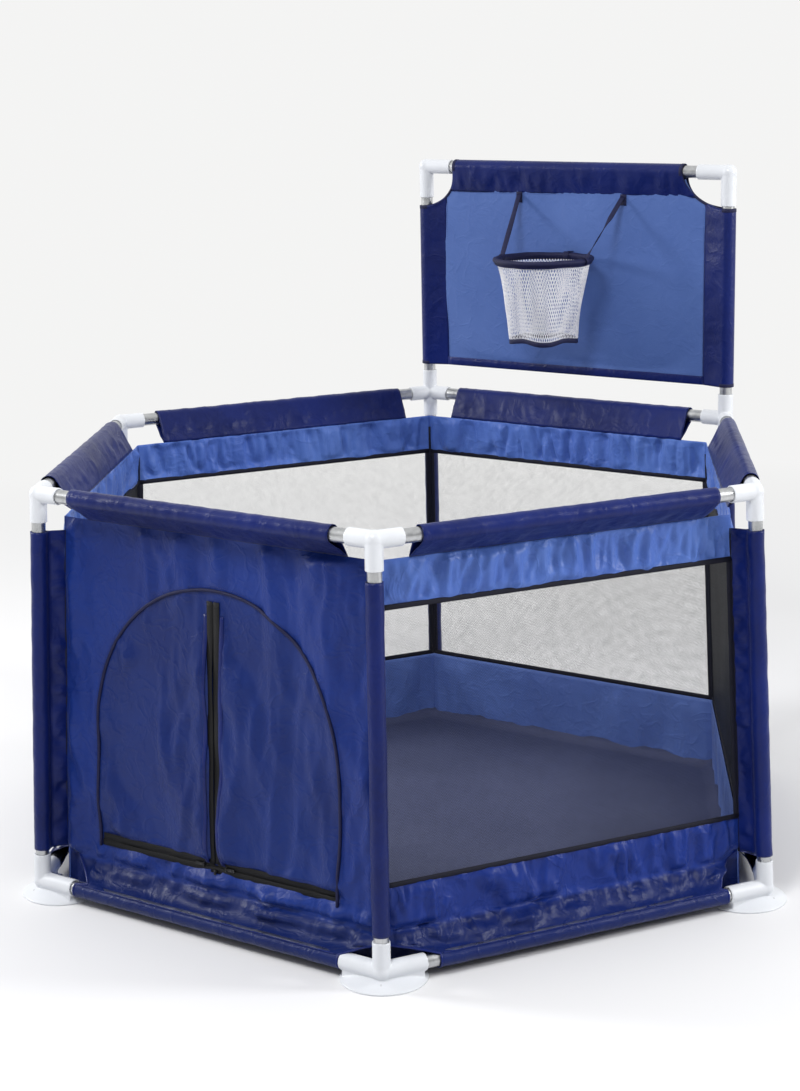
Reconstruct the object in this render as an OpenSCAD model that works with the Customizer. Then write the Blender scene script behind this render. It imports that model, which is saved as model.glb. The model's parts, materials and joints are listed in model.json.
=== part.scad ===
// Six-sided play yard: a push-fit tube frame, a sewn cloth cover with mesh windows and a zipped
// door, and a hoop board that lifts off the two far corners.
// The origin is on the floor under the middle, +Z is up, and the hoop board stands on the +Y side.
// Corners are numbered anticlockwise from +X. Side n runs from corner n to the next corner.

/* [Frame] */
// Distance between neighbouring post axes, at the top rails
side_len = 640; // [560:10:720]
// Height of the top rail axes above the floor
top_rail_z = 662; // [620:1:720]
// Height of the bottom rail axes above the floor
bottom_rail_z = 26; // [24:1:30]
// How much further out each post stands at its foot than at its top
foot_spread = 30; // [10:1:40]
// Outside diameter of every tube
tube_od = 22; // [21:0.5:23]
// Wall of every tube
tube_wall = 0.8; // [0.6:0.1:1.2]

/* [Connectors] */
// Outside radius of a socket
socket_r = 13.5; // [13.3:0.1:14.5]
// Length of a top connector's arms, from the corner
top_arm = 44; // [40:1:52]
// Length of the sockets that hold the posts, from the corner
post_socket = 45; // [40:1:50]
// Length of a foot connector's arms, from the corner
foot_arm = 70; // [66:1:78]
// Radius of the round pad that a foot stands on
foot_pad_r = 66; // [62:1:72]
// Height of the dome over the pad
foot_dome_rise = 17; // [12:1:20]

/* [Hoop board] */
// Height of the hoop board's top tube axis
board_top_z = 1101; // [1050:1:1160]
// Length of an elbow's arms, from the corner
elbow_arm = 59; // [55:1:66]
// Height of the board cloth's bottom hem
board_hem_z = 720; // [716:1:740]
// Radius of the round cut-outs at the board cloth's top corners
board_notch_r = 73; // [70:1:90]
// Height of the hoop's ring
hoop_z = 945; // [920:1:960]
// Radius of the hoop, to the middle of its ring
hoop_r = 87; // [80:1:96]
// Height of the net under the hoop, with its hem
net_drop = 151; // [120:1:160]
// Radius of the net at its hem
net_hem_r = 57; // [50:1:66]
// Distance of each strap's upper end from the middle of the board
strap_spread = 110; // [95:1:130]

/* [Cover] */
// Distance from a rail's axis in to the cloth wall
wall_inset = 35; // [32:1:40]
// Distance from a top rail's axis down to the wall's top seam
skirt_drop = 40; // [36:1:46]
// Height of the cloth band above a window
upper_band = 70; // [60:1:90]
// Height of a window's lower edge above the floor
window_sill_z = 136; // [120:1:160]
// Height of the seam where the lower skirt leaves the wall
lower_seam_z = 68; // [60:1:72]
// Thickness of the cloth, with its seams and hems
cloth_t = 1.6; // [1.2:0.1:2]

/* [Door] */
// Height of the door zips' meeting point above the floor
door_sill_z = 105; // [95:1:112]
// Height of the upright zip's top end above the floor
door_top_z = 527; // [490:1:535]
// Half of the width of the doorway at its sill
door_half_w = 237; // [200:1:245]
// Gap between the flaps and the cloth around them
flap_gap = 0.5; // [0.4:0.1:0.8]
// Gap between the two flaps, which the upright zip closes
zip_gap = 3; // [3:0.1:4]

/* [Hidden] */

$fn = 64;
SIDES = 6;
DOOR_SIDE = 5;
BOARD_CORNERS = [2, 3];

// Frame
foot_side = side_len + foot_spread;
rail_y = side_len * cos(30);
foot_rail_y = foot_side * cos(30);
post_rise = top_rail_z - bottom_rail_z;
post_lean = atan(foot_spread / post_rise);
post_axis_len = post_rise / cos(post_lean);
// Radial play between a tube and the socket it is pushed into
fit_play = 0.1;
socket_bore_d = tube_od + 2 * fit_play;
// How far from the corner the socket bores start, and the play at a tube's end
bore_start = 20;
foot_bore_start = 40;
end_play = 2;
tube_stop = bore_start + end_play;
foot_tube_stop = foot_bore_start + end_play;
// The ball in the middle of a connector, a little proud of the sockets
hub_r = socket_r + 0.8;

// Foot pad
pad_rim = 3;
pad_inset = 34;
dome_base_r = foot_pad_r - 1;
dome_r = (dome_base_r * dome_base_r + foot_dome_rise * foot_dome_rise) / (2 * foot_dome_rise);
arm_web_w = 18;

// Cover
sleeve_bore_r = tube_od / 2 + 0.3;
sleeve_r = sleeve_bore_r + cloth_t + 0.4;
wall_top_z = top_rail_z - skirt_drop;
wall_top_y = rail_y - wall_inset;
wall_lean = atan((foot_rail_y - rail_y) / post_rise);
// Half length of the rail sleeves, which leave the sockets and a little tube bare
top_sleeve_half = side_len / 2 - 71;
bottom_sleeve_half = foot_side / 2 - 80;
skirt_end_gap = 10;
panel_end_gap = 3;
mesh_t = 1.2;
mesh_gap = 0.2;
wall_foot_z = 5;
mat_t = 3;
mat_z = 0.5;
mat_gap = 4;
fin_t = 3;
fin_reach = 38;
sleeve_below_corner = 60;
sleeve_above_foot = 53;

// Door, in the wall's own plane: x along the wall and v up it, from the top seam
door_apex_v = plane_v(door_top_z);
door_sill_v = plane_v(door_sill_z);
door_rise = door_apex_v - door_sill_v;
fold_len = sqrt(door_half_w * door_half_w + door_rise * door_rise);
fold_nx = door_rise / fold_len;
fold_nv = door_half_w / fold_len;

// Zip sliders
slider_play = 0.4;
slider_y = cloth_t / 2 + slider_play;
slider_w = 8;
slider_len = 11;
slider_plate = 1.8;
bridge_y = 4.6;
bridge_r = 0.8;
bridge_half = 2.1;
bridge_post = 1.4;
eye_bore_r = 0.88;
eye_r = 2;
eye_w = 3.2;
pull_len = 16;
pull_w = 5;
pull_t = 1.2;
centre_slider_drop = 7;
side_slider_x = 22;

// Hoop board
board_y = rail_y;
ring_r = 4.5;
ring_back_gap = 10.2;
hoop_y = board_y - hoop_r - ring_r - ring_back_gap;
net_t = 1.2;
net_top_r = hoop_r - 4;
hem_h = 12;
hem_t = 2;
strap_w = 10;
strap_t = 1.2;
strap_top_z = board_top_z - 45;
strap_top_y = board_y - 2.8;

// Height up the sloping wall of a point that is z above the floor
function plane_v(z) = (z - wall_top_z) / cos(wall_lean);
// Half length of the wall between its two corners, at height v up the wall
function half_wall(v) = (wall_top_y - v * sin(wall_lean)) * tan(30) - panel_end_gap;

module at_corner(n, radius, z) {
  rotate([0, 0, 60 * (n - 1)]) translate([radius, 0, z]) children();
}

// Local +Y points out of side n
module at_side(n) {
  rotate([0, 0, 60 * (n - 1) - 60]) children();
}

// Local X runs along wall n, Z up its slope from the top seam, Y out of it
module on_wall(n) {
  at_side(n) translate([0, wall_top_y, wall_top_z]) rotate([wall_lean, 0, 0]) children();
}

// ---- frame ----

module tube(length) {
  color("silver") difference() {
    cylinder(d = tube_od, h = length);
    translate([0, 0, -1]) cylinder(d = tube_od - 2 * tube_wall, h = length + 2);
  }
}

module rail(n, y, z, length) {
  at_side(n) translate([-length / 2, y, z]) rotate([0, 90, 0]) tube(length);
}

module post_tube(n) {
  at_corner(n, foot_side, bottom_rail_z)
    rotate([0, -post_lean, 0])
      translate([0, 0, tube_stop])
        tube(post_axis_len - 2 * tube_stop);
}

module top_rail(n) {
  rail(n, rail_y, top_rail_z, side_len - 2 * tube_stop);
}

module bottom_rail(n) {
  rail(n, foot_rail_y, bottom_rail_z, foot_side - 2 * foot_tube_stop);
}

// Turns a socket along +Z to lie along one of the two rails that leave a corner
module along_rail(side) {
  rotate([0, 0, side * 120]) rotate([0, 90, 0]) children();
}

module socket_bore(start, length) {
  translate([0, 0, start]) cylinder(d = socket_bore_d, h = length - start + 1);
}

module top_connector(n) {
  has_board = len(search(n, BOARD_CORNERS)) > 0;
  color("white") at_corner(n, side_len, top_rail_z) difference() {
    union() {
      sphere(r = hub_r);
      for (side = [-1, 1]) along_rail(side) cylinder(r = socket_r, h = top_arm);
      rotate([0, 180 - post_lean, 0]) cylinder(r = socket_r, h = post_socket);
      if (has_board) cylinder(r = socket_r, h = post_socket);
    }
    for (side = [-1, 1]) along_rail(side) socket_bore(bore_start, top_arm);
    rotate([0, 180 - post_lean, 0]) socket_bore(bore_start, post_socket);
    if (has_board) socket_bore(bore_start, post_socket);
  }
}

// The yard side of a corner, between the two arms
module inside_wedge(reach) {
  apex = -socket_r / sin(60);
  polygon([
    [apex, 0],
    [apex - reach * cos(60), reach * sin(60)],
    [apex - 2 * reach, 0],
    [apex - reach * cos(60), -reach * sin(60)]
  ]);
}

module foot_pad() {
  difference() {
    translate([-pad_inset, 0, -bottom_rail_z]) union() {
      cylinder(r = foot_pad_r, h = pad_rim);
      intersection() {
        translate([0, 0, pad_rim + foot_dome_rise - dome_r]) sphere(r = dome_r, $fn = 128);
        translate([0, 0, pad_rim]) cylinder(r = foot_pad_r, h = foot_dome_rise + 1);
      }
    }
    translate([0, 0, -bottom_rail_z - 1])
      linear_extrude(foot_dome_rise + pad_rim + 2) inside_wedge(2 * foot_pad_r);
  }
}

module foot_connector(n) {
  color("white") at_corner(n, foot_side, bottom_rail_z) difference() {
    union() {
      sphere(r = hub_r);
      foot_pad();
      rotate([0, -post_lean, 0]) cylinder(r = socket_r, h = post_socket);
      for (side = [-1, 1]) {
        along_rail(side) cylinder(r = socket_r, h = foot_arm);
        rotate([0, 0, side * 120]) translate([0, -arm_web_w / 2, -bottom_rail_z])
          cube([foot_arm - 4, arm_web_w, bottom_rail_z]);
      }
    }
    rotate([0, -post_lean, 0]) socket_bore(bore_start, post_socket);
    for (side = [-1, 1]) along_rail(side) socket_bore(foot_bore_start, foot_arm);
  }
}

// ---- cover ----

// A sheet standing in the wall's plane, from height v0 up to v1
module wall_sheet(v0, v1, thickness) {
  rotate([90, 0, 0]) linear_extrude(thickness, center = true) polygon([
    [-half_wall(v0), v0],
    [half_wall(v0), v0],
    [half_wall(v1), v1],
    [-half_wall(v1), v1]
  ]);
}

// The sheet from a rail's sleeve to a seam on the wall, with its ends cut in towards the rail
module skirt(n, rail_pos, seam_pos, rail_half, seam_half) {
  dy = seam_pos[0] - rail_pos[0];
  dz = seam_pos[1] - rail_pos[1];
  drop = sqrt(dy * dy + dz * dz);
  start = sleeve_bore_r + cloth_t / 2;
  at_side(n) translate([0, rail_pos[0], rail_pos[1]]) rotate([atan2(dz, dy), 0, 0])
    linear_extrude(cloth_t, center = true) polygon([
      [-rail_half, start],
      [rail_half, start],
      [seam_half, drop],
      [-seam_half, drop]
    ]);
}

module rail_sleeve(n, y, z, half) {
  at_side(n) translate([-half, y, z]) rotate([0, 90, 0]) difference() {
    cylinder(r = sleeve_r, h = 2 * half);
    translate([0, 0, -1]) cylinder(r = sleeve_bore_r, h = 2 * half + 2);
  }
}

module upper_cloth(n, lower_v) {
  rail_sleeve(n, rail_y, top_rail_z, top_sleeve_half);
  skirt(n, [rail_y, top_rail_z], [wall_top_y, wall_top_z], top_sleeve_half, top_sleeve_half);
  on_wall(n) wall_sheet(lower_v, 0, cloth_t);
}

module lower_cloth(n, upper_v) {
  seam_v = plane_v(lower_seam_z);
  seam_y = wall_top_y - seam_v * sin(wall_lean);
  rail_sleeve(n, foot_rail_y, bottom_rail_z, bottom_sleeve_half);
  skirt(n, [foot_rail_y, bottom_rail_z], [seam_y, lower_seam_z], bottom_sleeve_half,
    half_wall(seam_v) - skirt_end_gap);
  on_wall(n) wall_sheet(plane_v(wall_foot_z), upper_v, cloth_t);
}

module wall_cloth(n) {
  color("royalblue") {
    upper_cloth(n, -upper_band);
    lower_cloth(n, plane_v(window_sill_z));
  }
}

module mesh_window(n) {
  color("gainsboro") on_wall(n)
    wall_sheet(plane_v(window_sill_z) + mesh_gap, -upper_band - mesh_gap, mesh_t);
}

module doorway() {
  rotate([90, 0, 0]) linear_extrude(2 * cloth_t, center = true) polygon([
    [0, door_apex_v],
    [-door_half_w, door_sill_v],
    [door_half_w, door_sill_v]
  ]);
}

module door_wall() {
  color("mediumblue") difference() {
    union() {
      upper_cloth(DOOR_SIDE, plane_v(wall_foot_z));
      lower_cloth(DOOR_SIDE, plane_v(lower_seam_z) + 1);
    }
    on_wall(DOOR_SIDE) doorway();
  }
}

// Half of the doorway's triangle, drawn in from the cloth around it by the gap.
// Its sloping edge is the line that the flap folds along.
module door_flap(side) {
  near_x = zip_gap / 2;
  low_v = door_sill_v + flap_gap;
  top_v = door_apex_v - (flap_gap + fold_nx * near_x) / fold_nv;
  far_x = ((door_apex_v - low_v) * fold_nv - flap_gap) / fold_nx;
  color("royalblue") on_wall(DOOR_SIDE) rotate([90, 0, 0])
    linear_extrude(cloth_t, center = true) polygon([
      [side * near_x, low_v],
      [side * far_x, low_v],
      [side * near_x, top_v]
    ]);
}

module corner_sleeve(n) {
  at_corner(n, foot_side, bottom_rail_z) rotate([0, -post_lean, 0])
    translate([0, 0, sleeve_above_foot]) difference() {
      length = post_axis_len - sleeve_above_foot - sleeve_below_corner;
      union() {
        cylinder(r = sleeve_r, h = length);
        translate([-fin_reach, -fin_t / 2, 0]) cube([fin_reach - sleeve_bore_r, fin_t, length]);
      }
      translate([0, 0, -1]) cylinder(r = sleeve_bore_r, h = length + 2);
    }
}

module corner_sleeves() {
  color("navy") for (n = [1 : SIDES]) corner_sleeve(n);
}

module floor_mat() {
  inner_y = wall_top_y - plane_v(wall_foot_z) * sin(wall_lean) - mat_gap;
  color("slategray") translate([0, 0, mat_z]) cylinder(r = inner_y / cos(30), h = mat_t, $fn = 6);
}

// ---- zip sliders and their pulls; the pull hangs along -Z from the bridge ----

module zip_slider() {
  color("dimgray") {
    translate([-slider_w / 2, 0, -slider_len / 2]) cube([slider_w, slider_plate, slider_len]);
    for (side = [-1, 1])
      translate([side * (bridge_half + bridge_post / 2) - bridge_post / 2, 0, -bridge_post])
        cube([bridge_post, bridge_y + bridge_r + 0.4, 2 * bridge_post]);
    translate([-bridge_half - 0.5, bridge_y, 0]) rotate([0, 90, 0])
      cylinder(r = bridge_r, h = 2 * bridge_half + 1);
  }
}

module zip_pull() {
  color("black") translate([0, bridge_y, 0]) difference() {
    union() {
      translate([-eye_w / 2, 0, 0]) rotate([0, 90, 0]) cylinder(r = eye_r, h = eye_w);
      translate([-eye_w / 2, -pull_t / 2, -5]) cube([eye_w, pull_t, 4]);
      translate([-pull_w / 2, -pull_t / 2, -pull_len]) cube([pull_w, pull_t, pull_len - 4]);
    }
    translate([-eye_w, 0, 0]) rotate([0, 90, 0]) cylinder(r = eye_bore_r, h = 2 * eye_w);
  }
}

module at_centre_zip() {
  on_wall(DOOR_SIDE) translate([0, slider_y, door_sill_v - centre_slider_drop]) children();
}

module at_side_zip(side) {
  on_wall(DOOR_SIDE) translate([side * side_slider_x, slider_y, door_sill_v])
    rotate([0, -90 * side, 0]) children();
}

// ---- hoop board ----

module board_post(side) {
  translate([side * side_len / 2, board_y, top_rail_z + tube_stop])
    tube(board_top_z - top_rail_z - 2 * tube_stop);
}

module board_top_tube() {
  length = side_len - 2 * tube_stop;
  translate([-length / 2, board_y, board_top_z]) rotate([0, 90, 0]) tube(length);
}

module board_elbow(side) {
  color("white") translate([side * side_len / 2, board_y, board_top_z]) difference() {
    union() {
      sphere(r = hub_r);
      rotate([0, -90 * side, 0]) cylinder(r = socket_r, h = elbow_arm);
      rotate([180, 0, 0]) cylinder(r = socket_r, h = elbow_arm);
    }
    rotate([0, -90 * side, 0]) socket_bore(bore_start, elbow_arm);
    rotate([180, 0, 0]) socket_bore(bore_start, elbow_arm);
  }
}

module board_sheet() {
  width = side_len - 2 * sleeve_bore_r - cloth_t;
  translate([0, board_y, 0]) rotate([90, 0, 0]) linear_extrude(cloth_t, center = true)
    difference() {
      translate([-width / 2, board_hem_z])
        square([width, board_top_z - sleeve_bore_r - cloth_t / 2 - board_hem_z]);
      for (side = [-1, 1]) translate([side * side_len / 2, board_top_z]) circle(r = board_notch_r);
    }
}

module board_cloth() {
  side_sleeve = board_top_z - board_notch_r - board_hem_z;
  top_half = side_len / 2 - board_notch_r;
  color("cornflowerblue") {
    difference() {
      union() {
        board_sheet();
        for (side = [-1, 1]) translate([side * side_len / 2, board_y, board_hem_z])
          cylinder(r = sleeve_r, h = side_sleeve);
        translate([-top_half, board_y, board_top_z]) rotate([0, 90, 0])
          cylinder(r = sleeve_r, h = 2 * top_half);
      }
      for (side = [-1, 1]) translate([side * side_len / 2, board_y, board_hem_z - 1])
        cylinder(r = sleeve_bore_r, h = side_sleeve + 2);
      translate([-top_half - 1, board_y, board_top_z]) rotate([0, 90, 0])
        cylinder(r = sleeve_bore_r, h = 2 * top_half + 2);
    }
  }
}

module hoop_ring() {
  color("midnightblue") translate([0, hoop_y, hoop_z])
    rotate_extrude($fn = 96) translate([hoop_r, 0]) circle(r = ring_r);
}

// A tapering net with a thicker hem round its open lower end
module hoop_net() {
  net_top_z = hoop_z - ring_r - 0.2;
  hem_top_z = hoop_z - net_drop + hem_h;
  color("whitesmoke") translate([0, hoop_y, 0]) rotate_extrude($fn = 96) {
    polygon([
      [net_hem_r, hem_top_z],
      [net_top_r - net_t, net_top_z],
      [net_top_r, net_top_z],
      [net_hem_r + net_t, hem_top_z]
    ]);
    translate([net_hem_r, hem_top_z - hem_h]) square([hem_t, hem_h]);
  }
}

module hoop_straps() {
  low = [hoop_r, hoop_y, hoop_z + ring_r + 1];
  high = [strap_spread, strap_top_y, strap_top_z];
  run = high - low;
  tilt = acos(run[2] / norm(run));
  turn = atan2(run[1], run[0]);
  color("midnightblue") for (side = [0, 1]) mirror([side, 0, 0])
    translate(low) rotate([0, tilt, turn])
      translate([-strap_t / 2, -strap_w / 2, 0]) cube([strap_t, strap_w, norm(run)]);
}

post_tube(1);  // post_tube_1
post_tube(2);  // post_tube_2
post_tube(3);  // post_tube_3
post_tube(4);  // post_tube_4
post_tube(5);  // post_tube_5
post_tube(6);  // post_tube_6
top_rail(1);  // top_rail_1
top_rail(2);  // top_rail_2
top_rail(3);  // top_rail_3
top_rail(4);  // top_rail_4
top_rail(5);  // top_rail_5
top_rail(6);  // top_rail_6
bottom_rail(1);  // bottom_rail_1
bottom_rail(2);  // bottom_rail_2
bottom_rail(3);  // bottom_rail_3
bottom_rail(4);  // bottom_rail_4
bottom_rail(5);  // bottom_rail_5
bottom_rail(6);  // bottom_rail_6
top_connector(1);  // top_connector_1
top_connector(2);  // top_connector_2
top_connector(3);  // top_connector_3
top_connector(4);  // top_connector_4
top_connector(5);  // top_connector_5
top_connector(6);  // top_connector_6
foot_connector(1);  // foot_connector_1
foot_connector(2);  // foot_connector_2
foot_connector(3);  // foot_connector_3
foot_connector(4);  // foot_connector_4
foot_connector(5);  // foot_connector_5
foot_connector(6);  // foot_connector_6
wall_cloth(1);  // wall_cloth_1
wall_cloth(2);  // wall_cloth_2
wall_cloth(3);  // wall_cloth_3
wall_cloth(4);  // wall_cloth_4
wall_cloth(6);  // wall_cloth_6
door_wall();
mesh_window(1);  // mesh_window_1
mesh_window(2);  // mesh_window_2
mesh_window(3);  // mesh_window_3
mesh_window(4);  // mesh_window_4
mesh_window(6);  // mesh_window_6
corner_sleeves();
floor_mat();
door_flap(1);  // door_flap_left
door_flap(-1);  // door_flap_right
at_centre_zip() zip_slider();  // zip_slider_centre
at_side_zip(1) zip_slider();  // zip_slider_left
at_side_zip(-1) zip_slider();  // zip_slider_right
at_centre_zip() zip_pull();  // zip_pull_centre
at_side_zip(1) zip_pull();  // zip_pull_left
at_side_zip(-1) zip_pull();  // zip_pull_right
board_post(-1);  // board_post_left
board_post(1);  // board_post_right
board_elbow(-1);  // board_elbow_left
board_elbow(1);  // board_elbow_right
board_top_tube();
board_cloth();
hoop_ring();
hoop_net();
hoop_straps();
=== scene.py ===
import json
import math

import bmesh
import bpy
import numpy as np
from mathutils import Matrix, Vector, noise

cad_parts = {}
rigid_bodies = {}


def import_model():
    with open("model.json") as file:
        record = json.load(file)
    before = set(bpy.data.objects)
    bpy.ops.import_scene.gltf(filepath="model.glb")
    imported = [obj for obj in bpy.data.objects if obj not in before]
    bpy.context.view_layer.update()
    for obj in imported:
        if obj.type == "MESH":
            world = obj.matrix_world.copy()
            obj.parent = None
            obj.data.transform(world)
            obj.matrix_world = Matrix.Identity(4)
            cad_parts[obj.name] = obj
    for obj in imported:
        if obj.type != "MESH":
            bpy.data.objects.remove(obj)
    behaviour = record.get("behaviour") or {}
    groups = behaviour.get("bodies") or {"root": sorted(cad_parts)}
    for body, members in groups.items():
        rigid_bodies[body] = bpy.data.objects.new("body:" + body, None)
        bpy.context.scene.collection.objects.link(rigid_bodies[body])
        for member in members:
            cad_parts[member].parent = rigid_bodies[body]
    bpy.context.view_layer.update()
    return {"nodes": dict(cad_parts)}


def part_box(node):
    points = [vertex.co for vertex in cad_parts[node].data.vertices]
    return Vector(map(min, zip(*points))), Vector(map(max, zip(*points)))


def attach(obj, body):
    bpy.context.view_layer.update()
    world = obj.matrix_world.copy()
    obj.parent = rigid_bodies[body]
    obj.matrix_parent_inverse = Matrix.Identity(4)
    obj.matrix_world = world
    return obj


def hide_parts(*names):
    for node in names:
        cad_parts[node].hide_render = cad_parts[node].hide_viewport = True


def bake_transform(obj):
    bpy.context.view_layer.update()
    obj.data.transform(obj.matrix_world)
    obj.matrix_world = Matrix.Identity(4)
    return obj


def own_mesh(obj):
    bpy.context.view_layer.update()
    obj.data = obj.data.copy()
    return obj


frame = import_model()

NODES = frame["nodes"]
SCENE = bpy.context.scene
COS30, TAN30 = math.cos(math.pi / 6), math.tan(math.pi / 6)


# ---- measures, in metres ----

def middle(node):
    low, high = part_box(node)
    return (low + high) / 2


TOP, LOW, BOARD_TOP = middle("top_rail_2"), middle("bottom_rail_2"), middle("board_top_tube")
RAIL_Y, RAIL_Z, FOOT_Y, FOOT_Z = TOP.y, TOP.z, LOW.y, LOW.z
BOARD_Y, BOARD_Z, BOARD_HEM = BOARD_TOP.y, BOARD_TOP.z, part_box("board_cloth")[0].z
SIDE, FOOT_SIDE = RAIL_Y / COS30, FOOT_Y / COS30
LEAN = math.atan2(FOOT_Y - RAIL_Y, RAIL_Z - FOOT_Z)
POST_LEAN = math.atan2(FOOT_SIDE - SIDE, RAIL_Z - FOOT_Z)
POST_LEN = math.hypot(FOOT_SIDE - SIDE, RAIL_Z - FOOT_Z)
INSET, DROP = 0.035, 0.040                  # from the top rail to the wall's top seam
WALL_Y, WALL_Z = RAIL_Y - INSET, RAIL_Z - DROP
WINDOW_LOW, WINDOW_HIGH = (p.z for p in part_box("mesh_window_2"))
SEAM_Z, HEM_Z = 0.068, 0.005
TUBE_R = (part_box("top_rail_2")[1].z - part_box("top_rail_2")[0].z) / 2
SLEEVE_R = TUBE_R + 0.0022
TOP_HALF = SIDE / 2 - 0.071
LOW_ENDS = {5: (0.072, 0.078), 6: (0.076, 0.092)}       # from a post to the low sleeve's two ends
LOW_CUTS = {(5, -1): (0.018, 0.0), (6, 1): (0.018, 0.0), (5, 1): (0.044, 0.027)}
CLOTH = 0.0007                              # thickness
DOOR, DOOR_HALF, DOOR_APEX, ARCH_Z = 5, 0.237, 0.527, 0.303
DOOR_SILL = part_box("door_flap_left")[0].z
NOTCHES = {-1: (0.067, 0.074), 1: (0.086, 0.063)}       # the board cloth's oval cut-outs
BOARD_SEAM_X, BOARD_SEAM_Z = SIDE / 2 - 0.046, BOARD_Z - 0.046
RING_LOW, RING_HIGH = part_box("hoop_ring")
RING = (RING_LOW + RING_HIGH) / 2
RING_R = (RING_HIGH.x - RING_LOW.x) / 2 - (RING_HIGH.z - RING_LOW.z) / 2
LOOP_R = 0.0062                             # a webbing loop round the ring
NET_TOP, NET_LOW = RING.z - 0.0075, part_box("hoop_net")[0].z
HEM_TALL, HEM_R = 0.009, 0.0565


def plane_v(z):
    """A height, as a length up a wall's own plane from its top seam."""
    return (z - WALL_Z) / math.cos(LEAN)


BAND_V, SILL_V, SEAM_V, FOOT_V = (plane_v(z) for z in (WINDOW_HIGH, WINDOW_LOW, SEAM_Z, HEM_Z))
APEX_V, DOOR_V = plane_v(DOOR_APEX), plane_v(DOOR_SILL - 0.0005)


def half_wall(v):
    return (WALL_Y - v * math.sin(LEAN)) * TAN30


def half_cloth(v):
    """Half a wall cloth's width, with its lap over the corner seam."""
    return half_wall(v) + 0.0005


def turn(degrees, axis="Z"):
    return Matrix.Rotation(math.radians(degrees), 4, axis)


def side_frame(n):
    return turn(60 * (n - 2))


def wall_frame(n):
    return side_frame(n) @ Matrix.Translation((0, WALL_Y, WALL_Z)) @ Matrix.Rotation(LEAN, 4, "X")


def post_frame(n):
    return turn(60 * (n - 1)) @ Matrix.Translation((FOOT_SIDE, 0, FOOT_Z)) @ Matrix.Rotation(-POST_LEAN, 4, "Y")


# ---- materials ----

BLACK, PAPER = (0.0, 0.0, 0.0, 1), (0.905, 0.905, 0.90, 1)


class Nodes:
    """A material's node tree, with short ways to add nodes."""

    def __init__(self, name):
        self.material = bpy.data.materials.new(name)
        self.material.use_nodes = True
        self.tree = self.material.node_tree
        self.place = self.add("ShaderNodeTexCoord").outputs["Object"]

    def add(self, kind, operation=None, **inputs):
        node = self.tree.nodes.new(kind)
        if operation:
            node.operation = operation
        return self.fill(node, inputs)

    def fill(self, node, inputs):
        """Sets inputs by name, or by number as i0, i1; a socket is linked, a value is set."""
        for key, value in inputs.items():
            socket = node.inputs[int(key[1:]) if key[0] == "i" else key.replace("_", " ")]
            if isinstance(value, bpy.types.NodeSocket):
                self.tree.links.new(value, socket)
            else:
                socket.default_value = value
        return node

    def maths(self, operation, *values):
        return self.add("ShaderNodeMath", operation, **{f"i{i}": v for i, v in enumerate(values)}).outputs[0]

    def vector(self, operation, *values):
        return self.add("ShaderNodeVectorMath", operation, **{f"i{i}": v for i, v in enumerate(values)}).outputs[0]

    def length(self, vector):
        return self.add("ShaderNodeVectorMath", "LENGTH", i0=vector).outputs["Value"]

    def parts(self, vector):
        return self.add("ShaderNodeSeparateXYZ", Vector=vector).outputs

    def cut(self, scale):
        """Metres across and along the cloth as it was cut, times a scale."""
        where = self.add("ShaderNodeUVMap")
        where.uv_map = "cut"
        return self.add("ShaderNodeVectorMath", "SCALE", i0=where.outputs[0], Scale=scale).outputs[0]

    def noise(self, scale, detail=3.0, rough=0.55, distortion=0.0, where=None):
        return self.add("ShaderNodeTexNoise", Vector=where or self.place, Scale=scale, Detail=detail,
                        Roughness=rough, Distortion=distortion).outputs["Fac"]

    def ramp(self, value, low, high, to_low=0.0, to_high=1.0):
        return self.add("ShaderNodeMapRange", Value=value, From_Min=low, From_Max=high,
                        To_Min=to_low, To_Max=to_high).outputs[0]

    def mix(self, factor, a, b):
        node = self.add("ShaderNodeMix")
        node.data_type = "RGBA"
        return self.fill(node, {"i0": factor, "i6": a, "i7": b}).outputs[2]

    def mottled(self, noise, low, high, a, b, most=1.0):
        """One colour passing into another as a noise rises."""
        return self.mix(self.ramp(noise, low, high, 0.0, most), a, b)

    def bump(self, height, strength, distance, **under):
        return self.add("ShaderNodeBump", Height=height, Strength=strength, Distance=distance, **under).outputs[0]

    def weave(self, pitch, strength, distance, **under):
        """Plain weave: threads over and under each other, `pitch` metres apart."""
        across, along, _ = self.parts(self.cut(2 * math.pi / pitch))
        height = self.maths("MULTIPLY", self.maths("SINE", across), self.maths("SINE", along))
        return self.bump(height, strength, distance, **under)

    def done(self, **inputs):
        self.fill(self.tree.nodes["Principled BSDF"], inputs)
        return self.material


def rgb(r, g, b):
    """A linear colour from 0-255 screen values."""
    return tuple((c / 255 / 12.92 if c < 10.3 else ((c / 255 + 0.055) / 1.055) ** 2.4)
                 for c in (r, g, b)) + (1.0,)


def doorway_tint(n, colour):
    """The doorway's cloth is a little darker than the wall round it."""
    x, _, z = n.parts(n.place)
    high = n.maths("MAXIMUM", n.maths("SUBTRACT", z, ARCH_Z), 0.0)
    reach = n.maths("SQRT", n.maths("ADD", n.maths("MULTIPLY", x, x), n.maths("MULTIPLY", high, high)))
    within = n.maths("MULTIPLY", n.ramp(reach, DOOR_HALF - 0.002, DOOR_HALF, 0.26, 0.0),
                     n.ramp(z, DOOR_SILL - 0.006, DOOR_SILL))
    return n.mix(within, colour, BLACK)


def hem_tint(n, colour):
    """The low sleeves are darker than the cloth above their seam."""
    return n.mix(n.ramp(n.parts(n.place)[2], SEAM_Z - 0.006, SEAM_Z, 0.62, 0.0), colour, rgb(2, 12, 56))


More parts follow.
